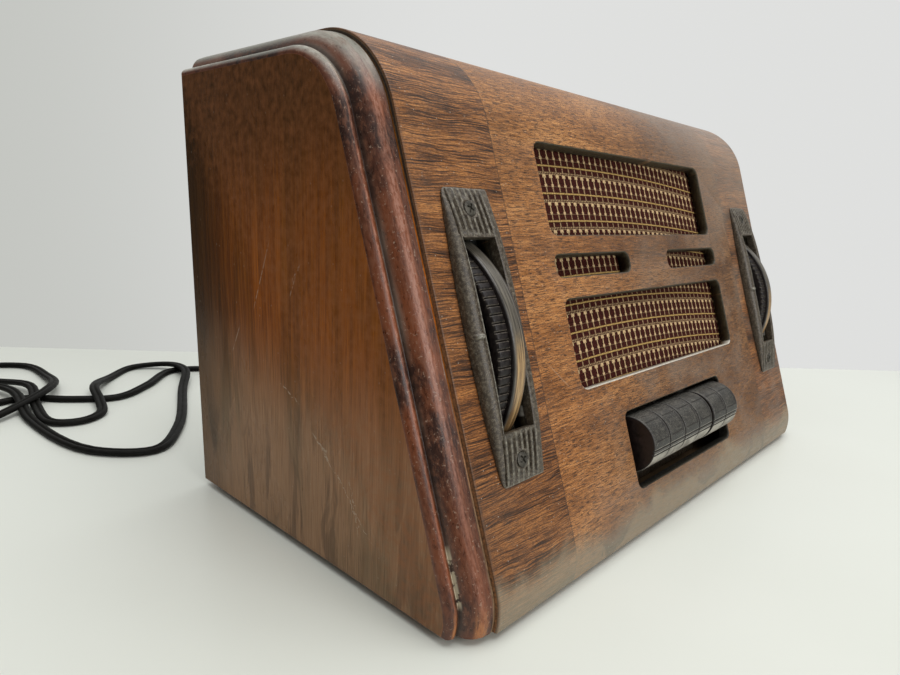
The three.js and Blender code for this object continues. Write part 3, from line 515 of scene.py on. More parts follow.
def button_plastic():
    p = Paint("button_plastic")
    place = p.position()
    wear_and_shading = p.attribute("wear_and_shading")
    fine = p.noise(place, 1.3, 5, 0.7)
    soft = p.noise(place, 0.16, 4, 0.6)
    base = p.mix(p.span(fine, 0.35, 0.7), (0.006, 0.0055, 0.005), (0.022, 0.02, 0.017))
    up = p.normal_up()
    film = p.span(soft, 0.35, 0.65, 0.35, 0.9) * p.span(up, -0.2, 0.6) * p.span(fine, 0.4, 0.62)
    colour = p.mix(film, base, (0.12, 0.112, 0.093))
    grit = p.span(p.noise(place, 3.0, 2, 0.6), 0.62, 0.7)
    colour = p.mix(grit * 0.7, colour, (0.46, 0.44, 0.38))
    # Painted reflection: pale grey on the faces that look down, standing in for the lit table below.
    below = p.span(up, -0.06, -0.12) * p.span(fine, 0.3, 0.6, 0.6, 1.0) * p.span(wear_and_shading, -0.6, -0.2)
    colour = p.mix(
        below * 0.9, colour, p.mix(p.span(soft, 0.35, 0.6), (0.2, 0.18, 0.145), (0.46, 0.43, 0.36))
    )
    colour = p.mix(p.span(wear_and_shading, 0.4, 0.95) * 0.6, colour, (0.34, 0.33, 0.29))
    colour = p.mix(p.span(wear_and_shading, -0.2, -0.8), colour, (0.012, 0.008, 0.007))
    return p.finish(colour, p.span(fine, 0.3, 0.7, 0.36, 0.6), p.bump(fine, 0.09, 0.6))


def button_end():
    """Moulded end face, where no dust has settled."""
    p = Paint("button_end")
    fine = p.noise(p.position(), 0.5, 5, 0.7)
    colour = p.mix(p.span(fine, 0.35, 0.7), (0.007, 0.004, 0.003), (0.022, 0.011, 0.009))
    return p.finish(colour, p.span(fine, 0.3, 0.7, 0.35, 0.5), p.bump(fine, 0.05, 0.4))


def aged(name, dark, light, roughness, size=0.4, metallic=0.0, dust=0.25, relief=0.1, **extra):
    """A general worn surface: mottled colour, dust on what faces up, rubbed convex edges."""
    p = Paint(name)
    place = p.position()
    fine = p.noise(place, size * 3, 5, 0.65)
    soft = p.noise(place, size * 0.3, 4, 0.6, 0.5)
    tone = fine * 0.5 + soft * 0.5
    colour = p.mix(p.span(tone, 0.38, 0.62), dark, light)
    point = p.field("ShaderNodeNewGeometry", {}, "Pointiness")
    rubbed = p.span(point, 0.52, 0.6) * p.span(fine, 0.35, 0.6)
    brighter = tuple((min(1.0, c * 1.8 + 0.03) for c in light))
    colour = p.mix(rubbed * 0.6, colour, brighter)
    settled = p.span(p.normal_up(), 0.4, 1.0) * p.span(soft, 0.35, 0.6) * dust
    colour = p.mix(settled, colour, (0.36, 0.34, 0.3))
    rough = p.span(tone, 0.35, 0.65, roughness * 0.8, min(1.0, roughness * 1.2))
    return p.finish(colour, rough, p.bump(fine, relief, 0.6), Metallic=metallic, **extra)


def pressed_fibre():
    p = Paint("pressed_fibre")
    place = p.position()
    fibre = p.noise(place, 0.7, 6, 0.75, 1.5)
    mesh = p.cells(place, 0.55)
    stain = p.noise(place, 0.02, 4, 0.6, 0.7)
    colour = p.mix(p.span(fibre, 0.35, 0.68), (0.052, 0.028, 0.014), (0.15, 0.088, 0.047))
    colour = p.mix(p.span(stain, 0.45, 0.7, 0.0, 0.5), colour, (0.045, 0.028, 0.017))
    return p.finish(colour, 0.86, p.bump(fibre + mesh * 0.4, 0.25, 0.7))


def plywood_face():
    p = Paint("plywood_face")
    place = p.position()
    grain = p.noise(place, (0.012, 0.35, 0.35), 6, 0.62, 0.5)
    fine = p.noise(place, (0.08, 2.2, 2.2), 4, 0.6)
    tone = grain * 0.6 + fine * 0.4
    tones = [(0.35, (0.12, 0.068, 0.032)), (0.5, (0.235, 0.15, 0.08)), (0.66, (0.33, 0.225, 0.13))]
    colour = p.ramp(tone, tones)
    return p.finish(colour, p.span(tone, 0.3, 0.7, 0.6, 0.85), p.bump(fine, 0.15, 0.6))


def valve_glass():
    p = Paint("valve_glass")
    place = p.position()
    height = p.split(place)[2]
    soft = p.noise(place, 0.15, 4, 0.6, 0.6)
    level = height + soft * 10.0
    getter = p.span(level, 116, 122)
    base = p.span(height, 75.5, 74.5)
    colour = p.mix(getter, (0.3, 0.33, 0.33), (0.55, 0.57, 0.58))
    colour = p.mix(base, colour, (0.035, 0.018, 0.012))
    rough = p.span(soft, 0.3, 0.7, 0.06, 0.16)
    return p.finish(colour, rough, p.bump(soft, 0.05, 0.3), **{"Transmission Weight": 0.35, "IOR": 1.47})


def table_top():
    p = Paint("table_top")
    place = p.position()
    soft = p.noise(place, 0.004, 4, 0.5)
    colour = p.mix(p.span(soft, 0.3, 0.7), (0.735, 0.76, 0.695), (0.77, 0.795, 0.735))
    return p.finish(colour, p.span(soft, 0.3, 0.7, 0.3, 0.38), None, specular=0.35)


# ---- Mesh helpers ----
def make_piece(name, points, faces, materials, sharp=38, uv=None, slots=None, attributes=None):
    """A mesh object from points in millimetres. Edges sharper than `sharp` degrees stay crisp."""
    mesh = bpy.data.meshes.new(name)
    mesh.from_pydata((np.asarray(points, float) * MM).tolist(), [], [list(f) for f in faces])
    for material in materials:
        mesh.materials.append(material)
    if slots is not None:
        mesh.polygons.foreach_set("material_index", slots)
    corners = np.zeros(len(mesh.loops), np.int32)
    mesh.loops.foreach_get("vertex_index", corners)
    if uv is not None:
        layer = mesh.uv_layers.new(name="UVMap")
        layer.data.foreach_set("uv", np.asarray(uv, np.float32)[corners].ravel())
    for key, values in (attributes or {}).items():
        held = mesh.attributes.new(key, "FLOAT", "POINT")
        held.data.foreach_set("value", np.asarray(values, np.float32))
    mesh.validate()
    mesh.shade_smooth()
    mesh.set_sharp_from_angle(angle=math.radians(sharp))
    piece = bpy.data.objects.new(name, mesh)
    bpy.context.scene.collection.objects.link(piece)
    return piece


def grid_faces(rows, columns, close_rows=False, close_columns=False, start=0):
    faces = []
    for i in range(rows if close_rows else rows - 1):
        for j in range(columns if close_columns else columns - 1):
            a = start + i * columns + j
            b = start + i * columns + (j + 1) % columns
            c = start + ((i + 1) % rows) * columns + (j + 1) % columns
            d = start + ((i + 1) % rows) * columns + j
            faces.append((a, b, c, d))
    return faces


def tube_faces(rows, columns):
    """Faces of a tube of rings of points, with one face across each end."""
    last = (rows - 1) * columns
    ends = [tuple(range(columns)), tuple(range(last, last + columns))[::-1]]
    return grid_faces(rows, columns, close_columns=True) + ends


def clean(piece, merge=None):
    """Turns every face outward, after joining points nearer than merge millimetres."""
    made = bmesh.new()
    made.from_mesh(piece.data)
    if merge:
        bmesh.ops.remove_doubles(made, verts=made.verts, dist=merge * MM)
        bmesh.ops.dissolve_degenerate(made, edges=made.edges, dist=merge * MM)
    bmesh.ops.delete(made, geom=[v for v in made.verts if not v.link_faces], context="VERTS")
    bmesh.ops.recalc_face_normals(made, faces=made.faces)
    made.to_mesh(piece.data)
    made.free()


def on_panel(points):
    """Points of (across, up the slope from the panel's foot, out of the veneer) to the row frame."""
    p = np.asarray(points, float).reshape(-1, 3)
    y = FOOT_Y + p[:, 1] * COS - p[:, 2] * SIN
    z = UNDERSIDE + p[:, 1] * SIN + p[:, 2] * COS
    return np.column_stack([p[:, 0], y, z])


def weighted(piece):
    piece.modifiers.new("normals", "WEIGHTED_NORMAL").keep_sharp = True
    return piece


def settle(piece, body):
    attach(piece, body)
    return piece


# ---- Cabinet ----
TOP_STEPS, TOE_STEPS = 28, 16
SLOPE_FOOT, SLOPE_TOP = 16.6, 170.5  # where the flat slope starts and ends


def wrap(inset):
    """Cabinet outline moved inward by inset, from the top of the back to the toe, as (y, z) points,
    and how far along the veneer each point is, counted up the slope from the panel's foot."""
    normal = math.pi / 2 + LEAN
    top_z = TOP - TOP_RADIUS
    top_y = FOOT_Y + (TOP_RADIUS + (top_z - UNDERSIDE) * COS) / SIN
    toe_y = FOOT_Y + (TOE_RADIUS + TOE_CENTRE_HEIGHT * COS) / SIN
    toe_z = UNDERSIDE + TOE_CENTRE_HEIGHT
    points = [(BACK_Y, TOP - inset)]
    along = [SLOPE_TOP + TOP_RADIUS * LEAN + BACK_Y - top_y]
    for i in range(TOP_STEPS + 1):
        angle = math.pi / 2 + (normal - math.pi / 2) * i / TOP_STEPS
        radius = TOP_RADIUS - inset
        points.append((top_y + radius * math.cos(angle), top_z + radius * math.sin(angle)))
        along.append(SLOPE_TOP + TOP_RADIUS * (normal - angle))
    radius = TOE_RADIUS - inset
    end = math.pi + math.asin(TOE_CENTRE_HEIGHT / radius)
    for i in range(TOE_STEPS + 1):
        angle = normal + (end - normal) * i / TOE_STEPS
        points.append((toe_y + radius * math.cos(angle), toe_z + radius * math.sin(angle)))
        along.append(SLOPE_FOOT - TOE_RADIUS * (angle - normal))
    return np.array(points), np.array(along)


# (distance in from the outer face, how far the profile is cut back, how worn it is; the highest values also
# give the crests a painted highlight and negative values give the valleys painted shade)
MOULDING = [
    (0.0, 9.95, -0.2), (0.25, 9.4, 0.0), (0.7, 8.75, -0.1), (1.3, 8.2, -0.1), (2.0, 7.8, 0.4),
    (2.7, 7.62, 1.0), (3.3, 7.66, 0.7), (3.9, 7.85, -0.2), (4.3, 8.02, -0.9), (4.55, 7.95, -1.0),
    (4.8, 7.3, -0.9), (5.1, 6.4, -0.6), (5.6, 5.3, -0.4), (6.3, 4.3, -0.1), (7.2, 3.4, 0.4),
    (8.3, 2.75, 0.75), (9.6, 2.2, 1.0), (10.8, 1.9, 0.8), (12.6, 1.64, 0.0),
    (13.7, 1.62, -0.9), (14.3, 1.6, -1.0),
]
REBATE_FROM = BOARD_THICKNESS - 8


def board_ring(inward, inset, ease):
    """One outline of a side board. ease pulls the back and bottom edges in to round them off."""
    back = BACK_Y - ease
    low = UNDERSIDE + ease
    shoulder = min(TOP - 5.3, TOP - inset - 0.02)
    outline = wrap(inset)[0].copy()
    outline[0, 0] = back
    keep = outline[:, 1] >= low
    outline[~keep, 1] = low
    inner = back if inward < REBATE_FROM else BACK_Y - 5.3
    if inward >= 14.3:
        outline[0, 0] = inner
        corners = [(inner, low), (inner, shoulder - 0.4), (inner, shoulder - 0.4)]
    else:
        corners = [(inner, low), (inner, shoulder), (back, shoulder)]
    return np.vstack([corners, outline])


def side_board(side):
    stations = [(0.0, 10.9, 0.9, 0.8), (0.0, 10.6, 0.9, 0.8)]
    for i, (inward, inset, worn) in enumerate(MOULDING):
        ease = 0.0 if i > 3 else (0.8, 0.35, 0.1, 0.0)[i]
        if inward == 10.8:
            stations.append((REBATE_FROM - 0.01, inset + 0.06, worn, ease))
            stations.append((REBATE_FROM, inset + 0.06, worn, ease))
        stations.append((inward, inset, worn, ease))
    stations += [(14.3, 5.3, -1.0, 0.0), (17.4, 5.3, 0.0, 0.0), (18.0, 5.9, 0.0, 0.0)]
    points, wear_and_shading = [], []
    for inward, inset, worn, ease in stations:
        ring = board_ring(inward, inset, ease)
        x = side * (HALF - inward)
        points.append(np.column_stack([np.full(len(ring), x), ring]))
        wear_and_shading += [worn] * len(ring)
    columns = len(points[0])
    faces = grid_faces(len(stations), columns, close_columns=True)
    last = (len(stations) - 1) * columns
    faces += [tuple(range(columns))[::-1], tuple(range(last, last + columns))]
    if side > 0:
        faces = [f[::-1] for f in faces]
    moulded_rows = range(1, len(stations) - 5)
    slots = [int(i // columns in moulded_rows) for i in range(last)] + [0, 0]
    name = "side_board_" + ("left" if side < 0 else "right")
    materials = [lacquered_wood, moulding_wood]
    piece = make_piece(name + "_wood", np.vstack(points), faces, materials, 40, None, slots, {"wear_and_shading": wear_and_shading})
    clean(piece, 0.002)
    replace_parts(weighted(piece), name)
    return settle(piece, "cabinet")


def rounded_loop(x0, x1, s0, s1, corner, grow=0.0, steps=8):
    radius = corner + grow
    centres = [(x1 - corner, s0 + corner, -90), (x1 - corner, s1 - corner, 0)]
    centres += [(x0 + corner, s1 - corner, 90), (x0 + corner, s0 + corner, 180)]
    loop = []
    for cx, cs, begin in centres:
        for i in range(steps + 1):
            angle = math.radians(begin + 90 * i / steps)
            loop.append((cx + radius * math.cos(angle), cs + radius * math.sin(angle)))
    return loop


HOLES = [
    (-75.6, 75.6, 129.3, 165.8, 4.0),
    (-76.2, 76.2, 68.1, 103.6, 4.0),
    (-77.1, -19.0, 112.5, 121.3, 3.6),
    (19.0, 77.1, 112.5, 121.3, 3.6),
    (-49.3, 49.3, 20.8, 53.5, 3.0),
    (-WHEEL_X - 8.4, -WHEEL_X + 8.4, WHEEL_UP - 38.4, WHEEL_UP + 38.4, 0.4),
    (WHEEL_X - 8.4, WHEEL_X + 8.4, WHEEL_UP - 38.4, WHEEL_UP + 38.4, 0.4),
]
# Profile of a cut-out's rim: how far outside the hole, and how deep.
RIM = [(0.8, 0.0), (0.45, -0.07), (0.2, -0.22), (0.05, -0.5), (0.0, -0.9), (0.0, -SHELL_THICKNESS)]


def inside_hole(x, s):
    for x0, x1, s0, s1, corner in HOLES:
        dx = max(x0 + corner - x, 0, x - x1 + corner)
        ds = max(s0 + corner - s, 0, s - s1 + corner)
        if math.hypot(dx, ds) < corner + 0.5 and x0 - 0.8 < x < x1 + 0.8 and s0 - 0.8 < s < s1 + 0.8:
            return True
    return False


def perforated_face(outer, loops):
    """Triangles that fill the outer loop but not the loops inside it, as indices into one list."""
    flat = [Vector(p) for p in outer]
    edges = [(i, (i + 1) % len(outer)) for i in range(len(outer))]
    for loop in loops:
        start = len(flat)
        flat += [Vector(p) for p in loop]
        edges += [(start + i, start + (i + 1) % len(loop)) for i in range(len(loop))]
    found = delaunay_2d_cdt(flat, edges, [], 0, 1e-6)
    points = [(p.x, p.y) for p in found[0]]
    keep = []
    for face in found[2]:
        centre = np.mean([points[i] for i in face], axis=0)
        if not inside_hole(*centre):
            keep.append(tuple(face))
    return points, keep


def front_shell():
    outer, along = wrap(0)
    inner, _ = wrap(SHELL_THICKNESS)
    rounding = 0.6
    points, uv, ply, faces, slots = [], [], [], [], []

    def put(new, where, depth):
        start = len(points)
        points.extend(map(tuple, new))
        uv.extend(map(tuple, where))
        ply.extend(depth)
        return start

    def strip(first, second, count, slot, skip=None):
        for i in range(count - 1):
            if i != skip:
                faces.append((first + i, first + i + 1, second + i + 1, second + i))
                slots.append(slot)

    count = len(outer)
    slope = TOP_STEPS + 1  # the slope is the step after this point of the outline
    stations = [(-SHELL_HALF, rounding), (-SHELL_HALF + 0.18, 0.18), (-SHELL_HALF + rounding, 0.0)]
    stations += [(SHELL_HALF - rounding, 0.0), (SHELL_HALF - 0.18, 0.18), (SHELL_HALF, rounding)]
    starts = []
    for x, inset in stations:
        ring = wrap(inset)[0]
        where = [(x, a) for a in along]
        starts.append(put([(x, y, z) for y, z in ring], where, [inset] * count))
    for k in range(5):
        strip(starts[k], starts[k + 1], count, 0, slope if k == 2 else None)
    ends = []
    for x in (-SHELL_HALF, SHELL_HALF):
        ends.append(put([(x, y, z) for y, z in inner], [(x, a) for a in along], [SHELL_THICKNESS] * count))
    strip(ends[0], starts[0], count, 1)
    strip(starts[5], ends[1], count, 1)
    strip(ends[1], ends[0], count, 1, slope)
    for k in (0, count - 1):
        faces.append((*[start + k for start in starts], ends[1] + k, ends[0] + k))
        slots.append(1)
    s_high, s_low = along[slope], along[slope + 1]
    edge = SHELL_HALF - rounding
    for loops_at, depth, slot, half in ((RIM[0][0], 0.0, 0, edge), (0.0, -SHELL_THICKNESS, 1, SHELL_HALF)):
        box = [(-half, s_low), (half, s_low), (half, s_high), (-half, s_high)]
        loops = [rounded_loop(*hole, grow=loops_at) for hole in HOLES]
        flat, kept = perforated_face(box, loops)
        start = put(on_panel([(x, s, depth) for x, s in flat]), flat, [-depth] * len(flat))
        faces.extend(tuple(start + i for i in face) for face in kept)
        slots.extend([slot] * len(kept))
    for hole in HOLES:
        rings = []
        for grow, depth in RIM:
            loop = rounded_loop(*hole, grow=grow)
            rings.append(put(on_panel([(x, s, depth) for x, s in loop]), loop, [-depth] * len(loop)))
        size = len(loop)
        for k in range(len(RIM) - 1):
            for i in range(size):
                j = (i + 1) % size
                faces.append((rings[k] + i, rings[k] + j, rings[k + 1] + j, rings[k + 1] + i))
                slots.append(0 if k < 1 else 2)
    materials = [veneer_wood, ply_wood, stained_edge]
    piece = make_piece("front_shell_veneer", points, faces, materials, 40, uv, slots, {"ply": ply})
    clean(piece, 0.004)
    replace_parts(weighted(piece), "front_shell")
    return settle(piece, "cabinet")


# ---- Grille cloth ----


def weave_height(x, s):
    """Relief of the weave in millimetres: upright cords, and a raised yarn in each repeat."""
    sag = BOW * (x - BOW_MIDDLE) ** 2 - BOW_DROP
    t = np.mod((s + sag - REPEAT_START) / REPEAT, 1.0)
    cord = np.cos(2 * np.pi * (np.mod(x / CLOTH_PITCH, 1.0) - 0.5)) * 0.5 + 0.5
    yarn = np.exp(-(np.minimum(t, 1 - t) / 0.035) ** 2)
    blob = np.exp(-((t - 0.625) / 0.05) ** 2) * cord**6
    dots = np.exp(-((t - 0.29) / 0.04) ** 2) * cord**6
    return 0.10 * cord**12 + 0.22 * yarn + 0.22 * blob + 0.18 * dots


def grille_cloth():
    xs = np.linspace(-CLOTH_HALF, CLOTH_HALF, 541)
    ss = np.linspace(CLOTH_LOW, CLOTH_HIGH, 286)
    x, s = np.meshgrid(xs, ss)
    h = CLOTH_FACE + weave_height(x, s)
    points = on_panel(np.column_stack([x.ravel(), s.ravel(), h.ravel()]))
    faces = grid_faces(len(ss), len(xs))
    uv = np.column_stack([x.ravel(), s.ravel()])
    piece = make_piece("grille_weave", points, faces, [weave], 180, uv)
    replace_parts(piece, "grille_cloth")
    return settle(piece, "cabinet")


# ---- Escutcheons ----
def smooth(value, low, high):
    t = np.clip((value - low) / (high - low), 0, 1)
    return t * t * (3 - 2 * t)


def fine_steps(breaks):
    """Stations from (place, spacing up to the next place) pairs."""
    stations = []
    for (a, step), (b, _) in zip(breaks, breaks[1:]):
        count = max(1, round((b - a) / step))
        stations += [a + (b - a) * i / count for i in range(count)]
    return np.array(stations + [breaks[-1][0]])


def escutcheon(side, name):
    """A bowed plate with a slot for the wheel: a wide rounded rail on its left, a narrow one on its
    right, and seven grooves across each end, broken by the screw's boss."""
    half_width, half_length = 8.2, 32.4  # of the slot
    left_width, bulge_most, right_edge = 10.3, 2.7, 12.1
    floor, rise, groove_pitch = 0.35, 4.4, 2.72
    v = fine_steps(
        [(-50, .3), (-49, 1.0), (-46.5, .35), (-38.5, 1.0), (-33.4, .25), (-32.4, 1.6), (-2, .2),
         (2, 1.6), (32.4, .25), (33.4, 1.0), (38.5, .35), (46.5, 1.0), (49, .3), (50, 1)]
    )
    rail = np.array([0, .03, .08, .16, .26, .38, .5, .62, .74, .82, .86, .90, .94, .97, .99, 1.0])
    middle = fine_steps([(-half_width, .27), (half_width, 1)])[1:-1]
    right = np.array([0, .04, .10, .25, .5, .75, .90, .97, 1.0])
    points, wear_and_shading, columns = [], [], len(rail) + len(middle) + len(right)
    for along in v:
        bulge = bulge_most * (1 - (along / 50) ** 2)
        near_end = np.clip((abs(along) - 46.5) / 3.5, 0, 1)
        left_edge = -(left_width + bulge) + 1.9 * (1 - math.sqrt(1 - near_end**2))
        left_rail = left_edge + rail * (-half_width - left_edge)
        xs = np.concatenate([left_rail, middle, half_width + right * (right_edge - half_width)])
        top = 0.6 + rise * (1 - abs(along / 50) ** 3)
        h = np.full(len(xs), top)
        # worn holds wear and also the marks for painted shade: negative in the rail's valley, the grooves
        # and round the counterbore, which the finish paints near black.
        worn = np.zeros(len(xs))
        # Wide rail: half round, with a raised lip where it meets the slot.
        t = np.clip((xs - left_edge) / (-half_width - left_edge), 0, 1)
        depth = (top - 0.3) * 0.62
        rounding = depth * (1 - np.sqrt(np.clip(1 - (1 - np.clip(t / 0.8, 0, 1)) ** 2.2, 0, 1)))
        on_rail = t < 1
        h[on_rail] -= rounding[on_rail]
        valley = 0.45 * np.exp(-((t - 0.85) / 0.035) ** 2)
        h[on_rail] -= valley[on_rail]
        crown = 0.42 * smooth(t, 0.15, 0.5) * (1 - smooth(t, 0.6, 0.8))
        worn[on_rail] = (crown - 1.1 * np.exp(-((t - 0.85) / 0.03) ** 2))[on_rail]
        worn[on_rail & (t > 0.93)] = 0.8
        ring = np.exp(-(along / 0.85) ** 4) * 0.75
        h[(t > 0.1) & (t < 0.84)] += ring
        worn[(t > 0.1) & (t < 0.84)] += ring * 0.9
        # Right rail: rounded corners.
        r = (xs - half_width) / (right_edge - half_width)
        on_right = r >= 0
        fall = 0.9 * smooth(r, 0.7, 1.0) ** 2 + 0.25 * (1 - smooth(r, 0.0, 0.12))
        h[on_right] -= fall[on_right] * min(1, top / 3)
        worn[on_right] = (0.3 + 0.5 * smooth(r, 0.8, 1.0))[on_right]
        # Grooved ends, and the screw's boss and counterbore.
        beyond = abs(along) - half_length
        grooved = smooth(beyond, 1.0, 1.8) * (1 - smooth(abs(along), 49.0, 49.6))
        from_screw = np.hypot(xs, abs(along) - SCREW_OFFSET)
        phase = np.abs(np.mod((xs + 9.0) / groove_pitch, 1.0) - 0.5)
        span = (xs > -9.2) & (xs < 10.1)
        groove = smooth(phase, 0.25, 0.37) * grooved * smooth(from_screw, 3.5, 4.1) * span
        h -= 0.95 * groove * min(1.0, (top - floor) / 1.6)
        worn = np.where(span & (beyond > 0.4), 0.45 + 0.35 * (1 - smooth(phase, 0.0, 0.2)), worn)
        worn = np.where(groove > 0.25, -0.9 * groove, worn)
        bore = 1 - smooth(from_screw, 2.65, 3.0)
        h = h * (1 - bore) + np.minimum(h, 1.55) * bore
        worn = np.where((from_screw > 2.5) & (from_screw < 3.1), -0.7, worn)
        end = smooth(abs(along), 49.2, 50.0)
        h -= end * 0.35
        worn = np.maximum(worn, end * 0.9)
        points += list(np.column_stack([xs, np.full(len(xs), along), np.maximum(h, floor)]))
        wear_and_shading += list(worn)
    points = np.array(points)
    rows = len(v)
    under = points.copy()
    under[:, 2] = 0.3
    faces = []
    a, b = len(rail) - 1, len(rail) + len(middle)
    for i in range(rows - 1):
        open_row = -half_length - 1e-6 <= v[i] and v[i + 1] <= half_length + 1e-6
        for j in range(columns - 1):
            if open_row and a <= j < b:
                continue
            q = i * columns + j
            faces.append((q, q + 1, q + columns + 1, q + columns))
    start = rows * columns
    bottom = [tuple(start + i for i in face[::-1]) for face in faces]
    used = {(face[i], face[(i + 1) % 4]): True for face in faces for i in range(4)}
    walls = [(e[1], e[0], start + e[0], start + e[1]) for e in used if (e[1], e[0]) not in used]
    everything = np.vstack([points, under])
    everything[:, 0] += side * WHEEL_X
    everything[:, 1] += WHEEL_UP
    wear_and_shading = wear_and_shading + [-0.2] * len(under)
    piece = make_piece(name + "_moulded", on_panel(everything), faces + bottom + walls, [moulded], 50,
                       attributes={"wear_and_shading": wear_and_shading})
    clean(piece)
    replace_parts(piece, name)
    return settle(piece, "cabinet")


# ---- Screws ----
def screw_head(radius, height, recess, turn, slotted):
    """A domed head with a cross or a straight slot, with its axis on +Z and its underside at 0."""
    rings, sectors = 18, 72
    points, wear_and_shading = [], []
    for i in range(rings + 1):
        r = radius * i / rings
        for k in range(sectors):
            angle = 2 * math.pi * k / sectors
            x, y = r * math.cos(angle), r * math.sin(angle)
            u = x * math.cos(turn) + y * math.sin(turn)
            w = -x * math.sin(turn) + y * math.cos(turn)
            top = height * (1 - 0.35 * (r / radius) ** 2.2)
            width = radius * 0.13
            reach = radius * (1.1 if slotted else 0.62)
            arm = max(0.0, 1 - (abs(w) / width) ** 6) if abs(u) < reach else 0.0
            if not slotted:
                arm = max(arm, max(0.0, 1 - (abs(u) / width) ** 6) if abs(w) < reach else 0.0)
            arm = min(1.0, arm * 1.5)
            points.append((x, y, top - recess * arm))
            wear_and_shading.append(-0.9 * arm + (0.8 if 0.82 < r / radius < 0.97 else 0.1))
    faces = grid_faces(rings + 1, sectors, close_columns=True)
    base = len(points)
    for k in range(sectors):
        angle = 2 * math.pi * k / sectors
        points.append((radius * math.cos(angle), radius * math.sin(angle), 0))
        wear_and_shading.append(0.0)
    rim = rings * sectors
    for k in range(sectors):
        after = (k + 1) % sectors
        faces.append((rim + k, base + k, base + after, rim + after))
    faces.append(tuple(base + k for k in range(sectors))[::-1])
    return np.array(points), faces, wear_and_shading


def shank(radius, low, high, start):
    angles = [2 * math.pi * k / 16 for k in range(16)]
    points = [(radius * math.cos(a), radius * math.sin(a), z) for z in (low, high) for a in angles]
    faces = grid_faces(2, 16, close_columns=True, start=start)
    faces.append(tuple(start + k for k in range(16))[::-1])
    return points, faces


def screw(name, head, stem, material, place):
    """A wood screw with its axis on +Z, put where place(x, y, z) says."""
    points, faces, wear_and_shading = screw_head(*head)
    more, ring = shank(*stem, len(points))
    placed = place(*np.vstack([points, more]).T)
    piece = make_piece(name + "_head", placed, faces + ring, [material], 45,
                       attributes={"wear_and_shading": wear_and_shading + [0.0] * len(more)})
    clean(piece, 0.002)
    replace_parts(piece, name)
    settle(piece, "cabinet")


def escutcheon_screw(side, end, name, turn):
    def place(x, y, z):
        return on_panel(np.column_stack([side * WHEEL_X + x, WHEEL_UP + end * SCREW_OFFSET + y, z + 1.62]))

    screw(name, (2.55, 1.25, 0.75, turn, False), (1.25, -9.62, 0.08), screw_dark, place)


def back_screw(index, across, up, turn):
    def place(x, y, z):
        return np.column_stack([across + x, BACK_Y - 1.72 + z, up - y])

    screw(f"back_screw_{index}", (3.4, 1.7, 0.8, turn, True), (1.4, -15.5, 0.1), screw_steel, place)


# ---- Thumbwheels ----
RIBS = 96
WHEEL_RADIUS = 46.5
# (station along the axle, radius, ribbed?)
WHEEL_PROFILE = [
    (-6.6, 41.5, 0), (-6.6, 43.8, 0), (-6.55, 44.4, 1), (-6.3, 44.8, 1), (-5.8, 45.0, 1), (-3.6, 45.0, 1),
    (-1.6, 45.0, 1), (-1.0, 44.95, 1), (-0.82, 44.8, 0), (-0.8, 45.9, 0), (-0.6, 46.2, 0), (-0.1, 46.36, 0),
    (1.0, 46.45, 0), (2.6, 46.5, 0), (4.2, 46.42, 0), (5.4, 46.2, 0), (6.1, 45.8, 0), (6.5, 45.2, 0),
    (6.6, 44.4, 0), (6.6, 41.5, 0), (5.4, 41.2, 0), (1.9, 41.2, 0), (1.5, 40.6, 0), (1.5, 8.6, 0),
    (1.9, 8.0, 0), (6.2, 8.0, 0), (6.6, 7.6, 0), (6.6, 3.5, 0), (-6.6, 3.5, 0), (-6.6, 7.6, 0),
    (-6.2, 8.0, 0), (-1.9, 8.0, 0), (-1.5, 8.6, 0), (-1.5, 40.6, 0), (-1.9, 41.2, 0), (-5.4, 41.2, 0),
]


def thumbwheel(side, node, body):
    steps = RIBS * 8
    angles = 2 * np.pi * np.arange(steps) / steps
    phase = np.mod(angles * RIBS / (2 * np.pi), 1.0)
    groove = np.clip(1 - np.abs(phase - 0.5) / 0.16, 0, 1)
    off_groove = np.abs(phase - 0.5)
    edge = ((off_groove > 0.12) & (off_groove < 0.20)).astype(float)
    # Angle round the rim from the point that faces straight out of the panel, downward positive.
    turned = np.mod(angles - (np.pi / 2 + LEAN) + np.pi, 2 * np.pi) - np.pi
    points, uv, wear_and_shading = [], [], []
    for x, radius, ribbed in WHEEL_PROFILE:
        r = radius - 0.75 * groove * ribbed
        points.append(np.column_stack([np.full(steps, side * WHEEL_X + x), WHEEL_Y + r * np.cos(angles),
                                       WHEEL_Z + r * np.sin(angles)]))
        uv.append(np.column_stack([turned * WHEEL_RADIUS, np.full(steps, x)]))
        wear_and_shading.append(edge * ribbed + (0.6 if x in (-6.55, -1.0) else 0.0) * (1 - groove))
    rows = len(WHEEL_PROFILE)
    faces = grid_faces(rows, steps, close_rows=True, close_columns=True)
    band = [1 if 9 <= i // steps <= 18 else 0 for i in range(len(faces))]
    piece = make_piece(node + "_ribbed", np.vstack(points), faces, [drum_plastic, band_plastic], 48,
                       np.vstack(uv), band, {"wear_and_shading": np.concatenate(wear_and_shading)})
    clean(piece, 0.0005)
    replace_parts(piece, node)
    return settle(piece, body)


# ---- Push buttons ----
BUTTON_PITCH, BUTTON_WIDTH, BUTTON_RADIUS = 15.1, 14.5, 12.2
BUTTON_S, BUTTON_H, BUTTON_BACK_H = 39.3, -4.0, -7.0
BUTTON_GROOVES = (109.5, 119.0)  # degrees round the key's face
BUTTON_RIDGES = (106.6, 112.4, 116.1, 121.9)
STEM_END_H = -27.0


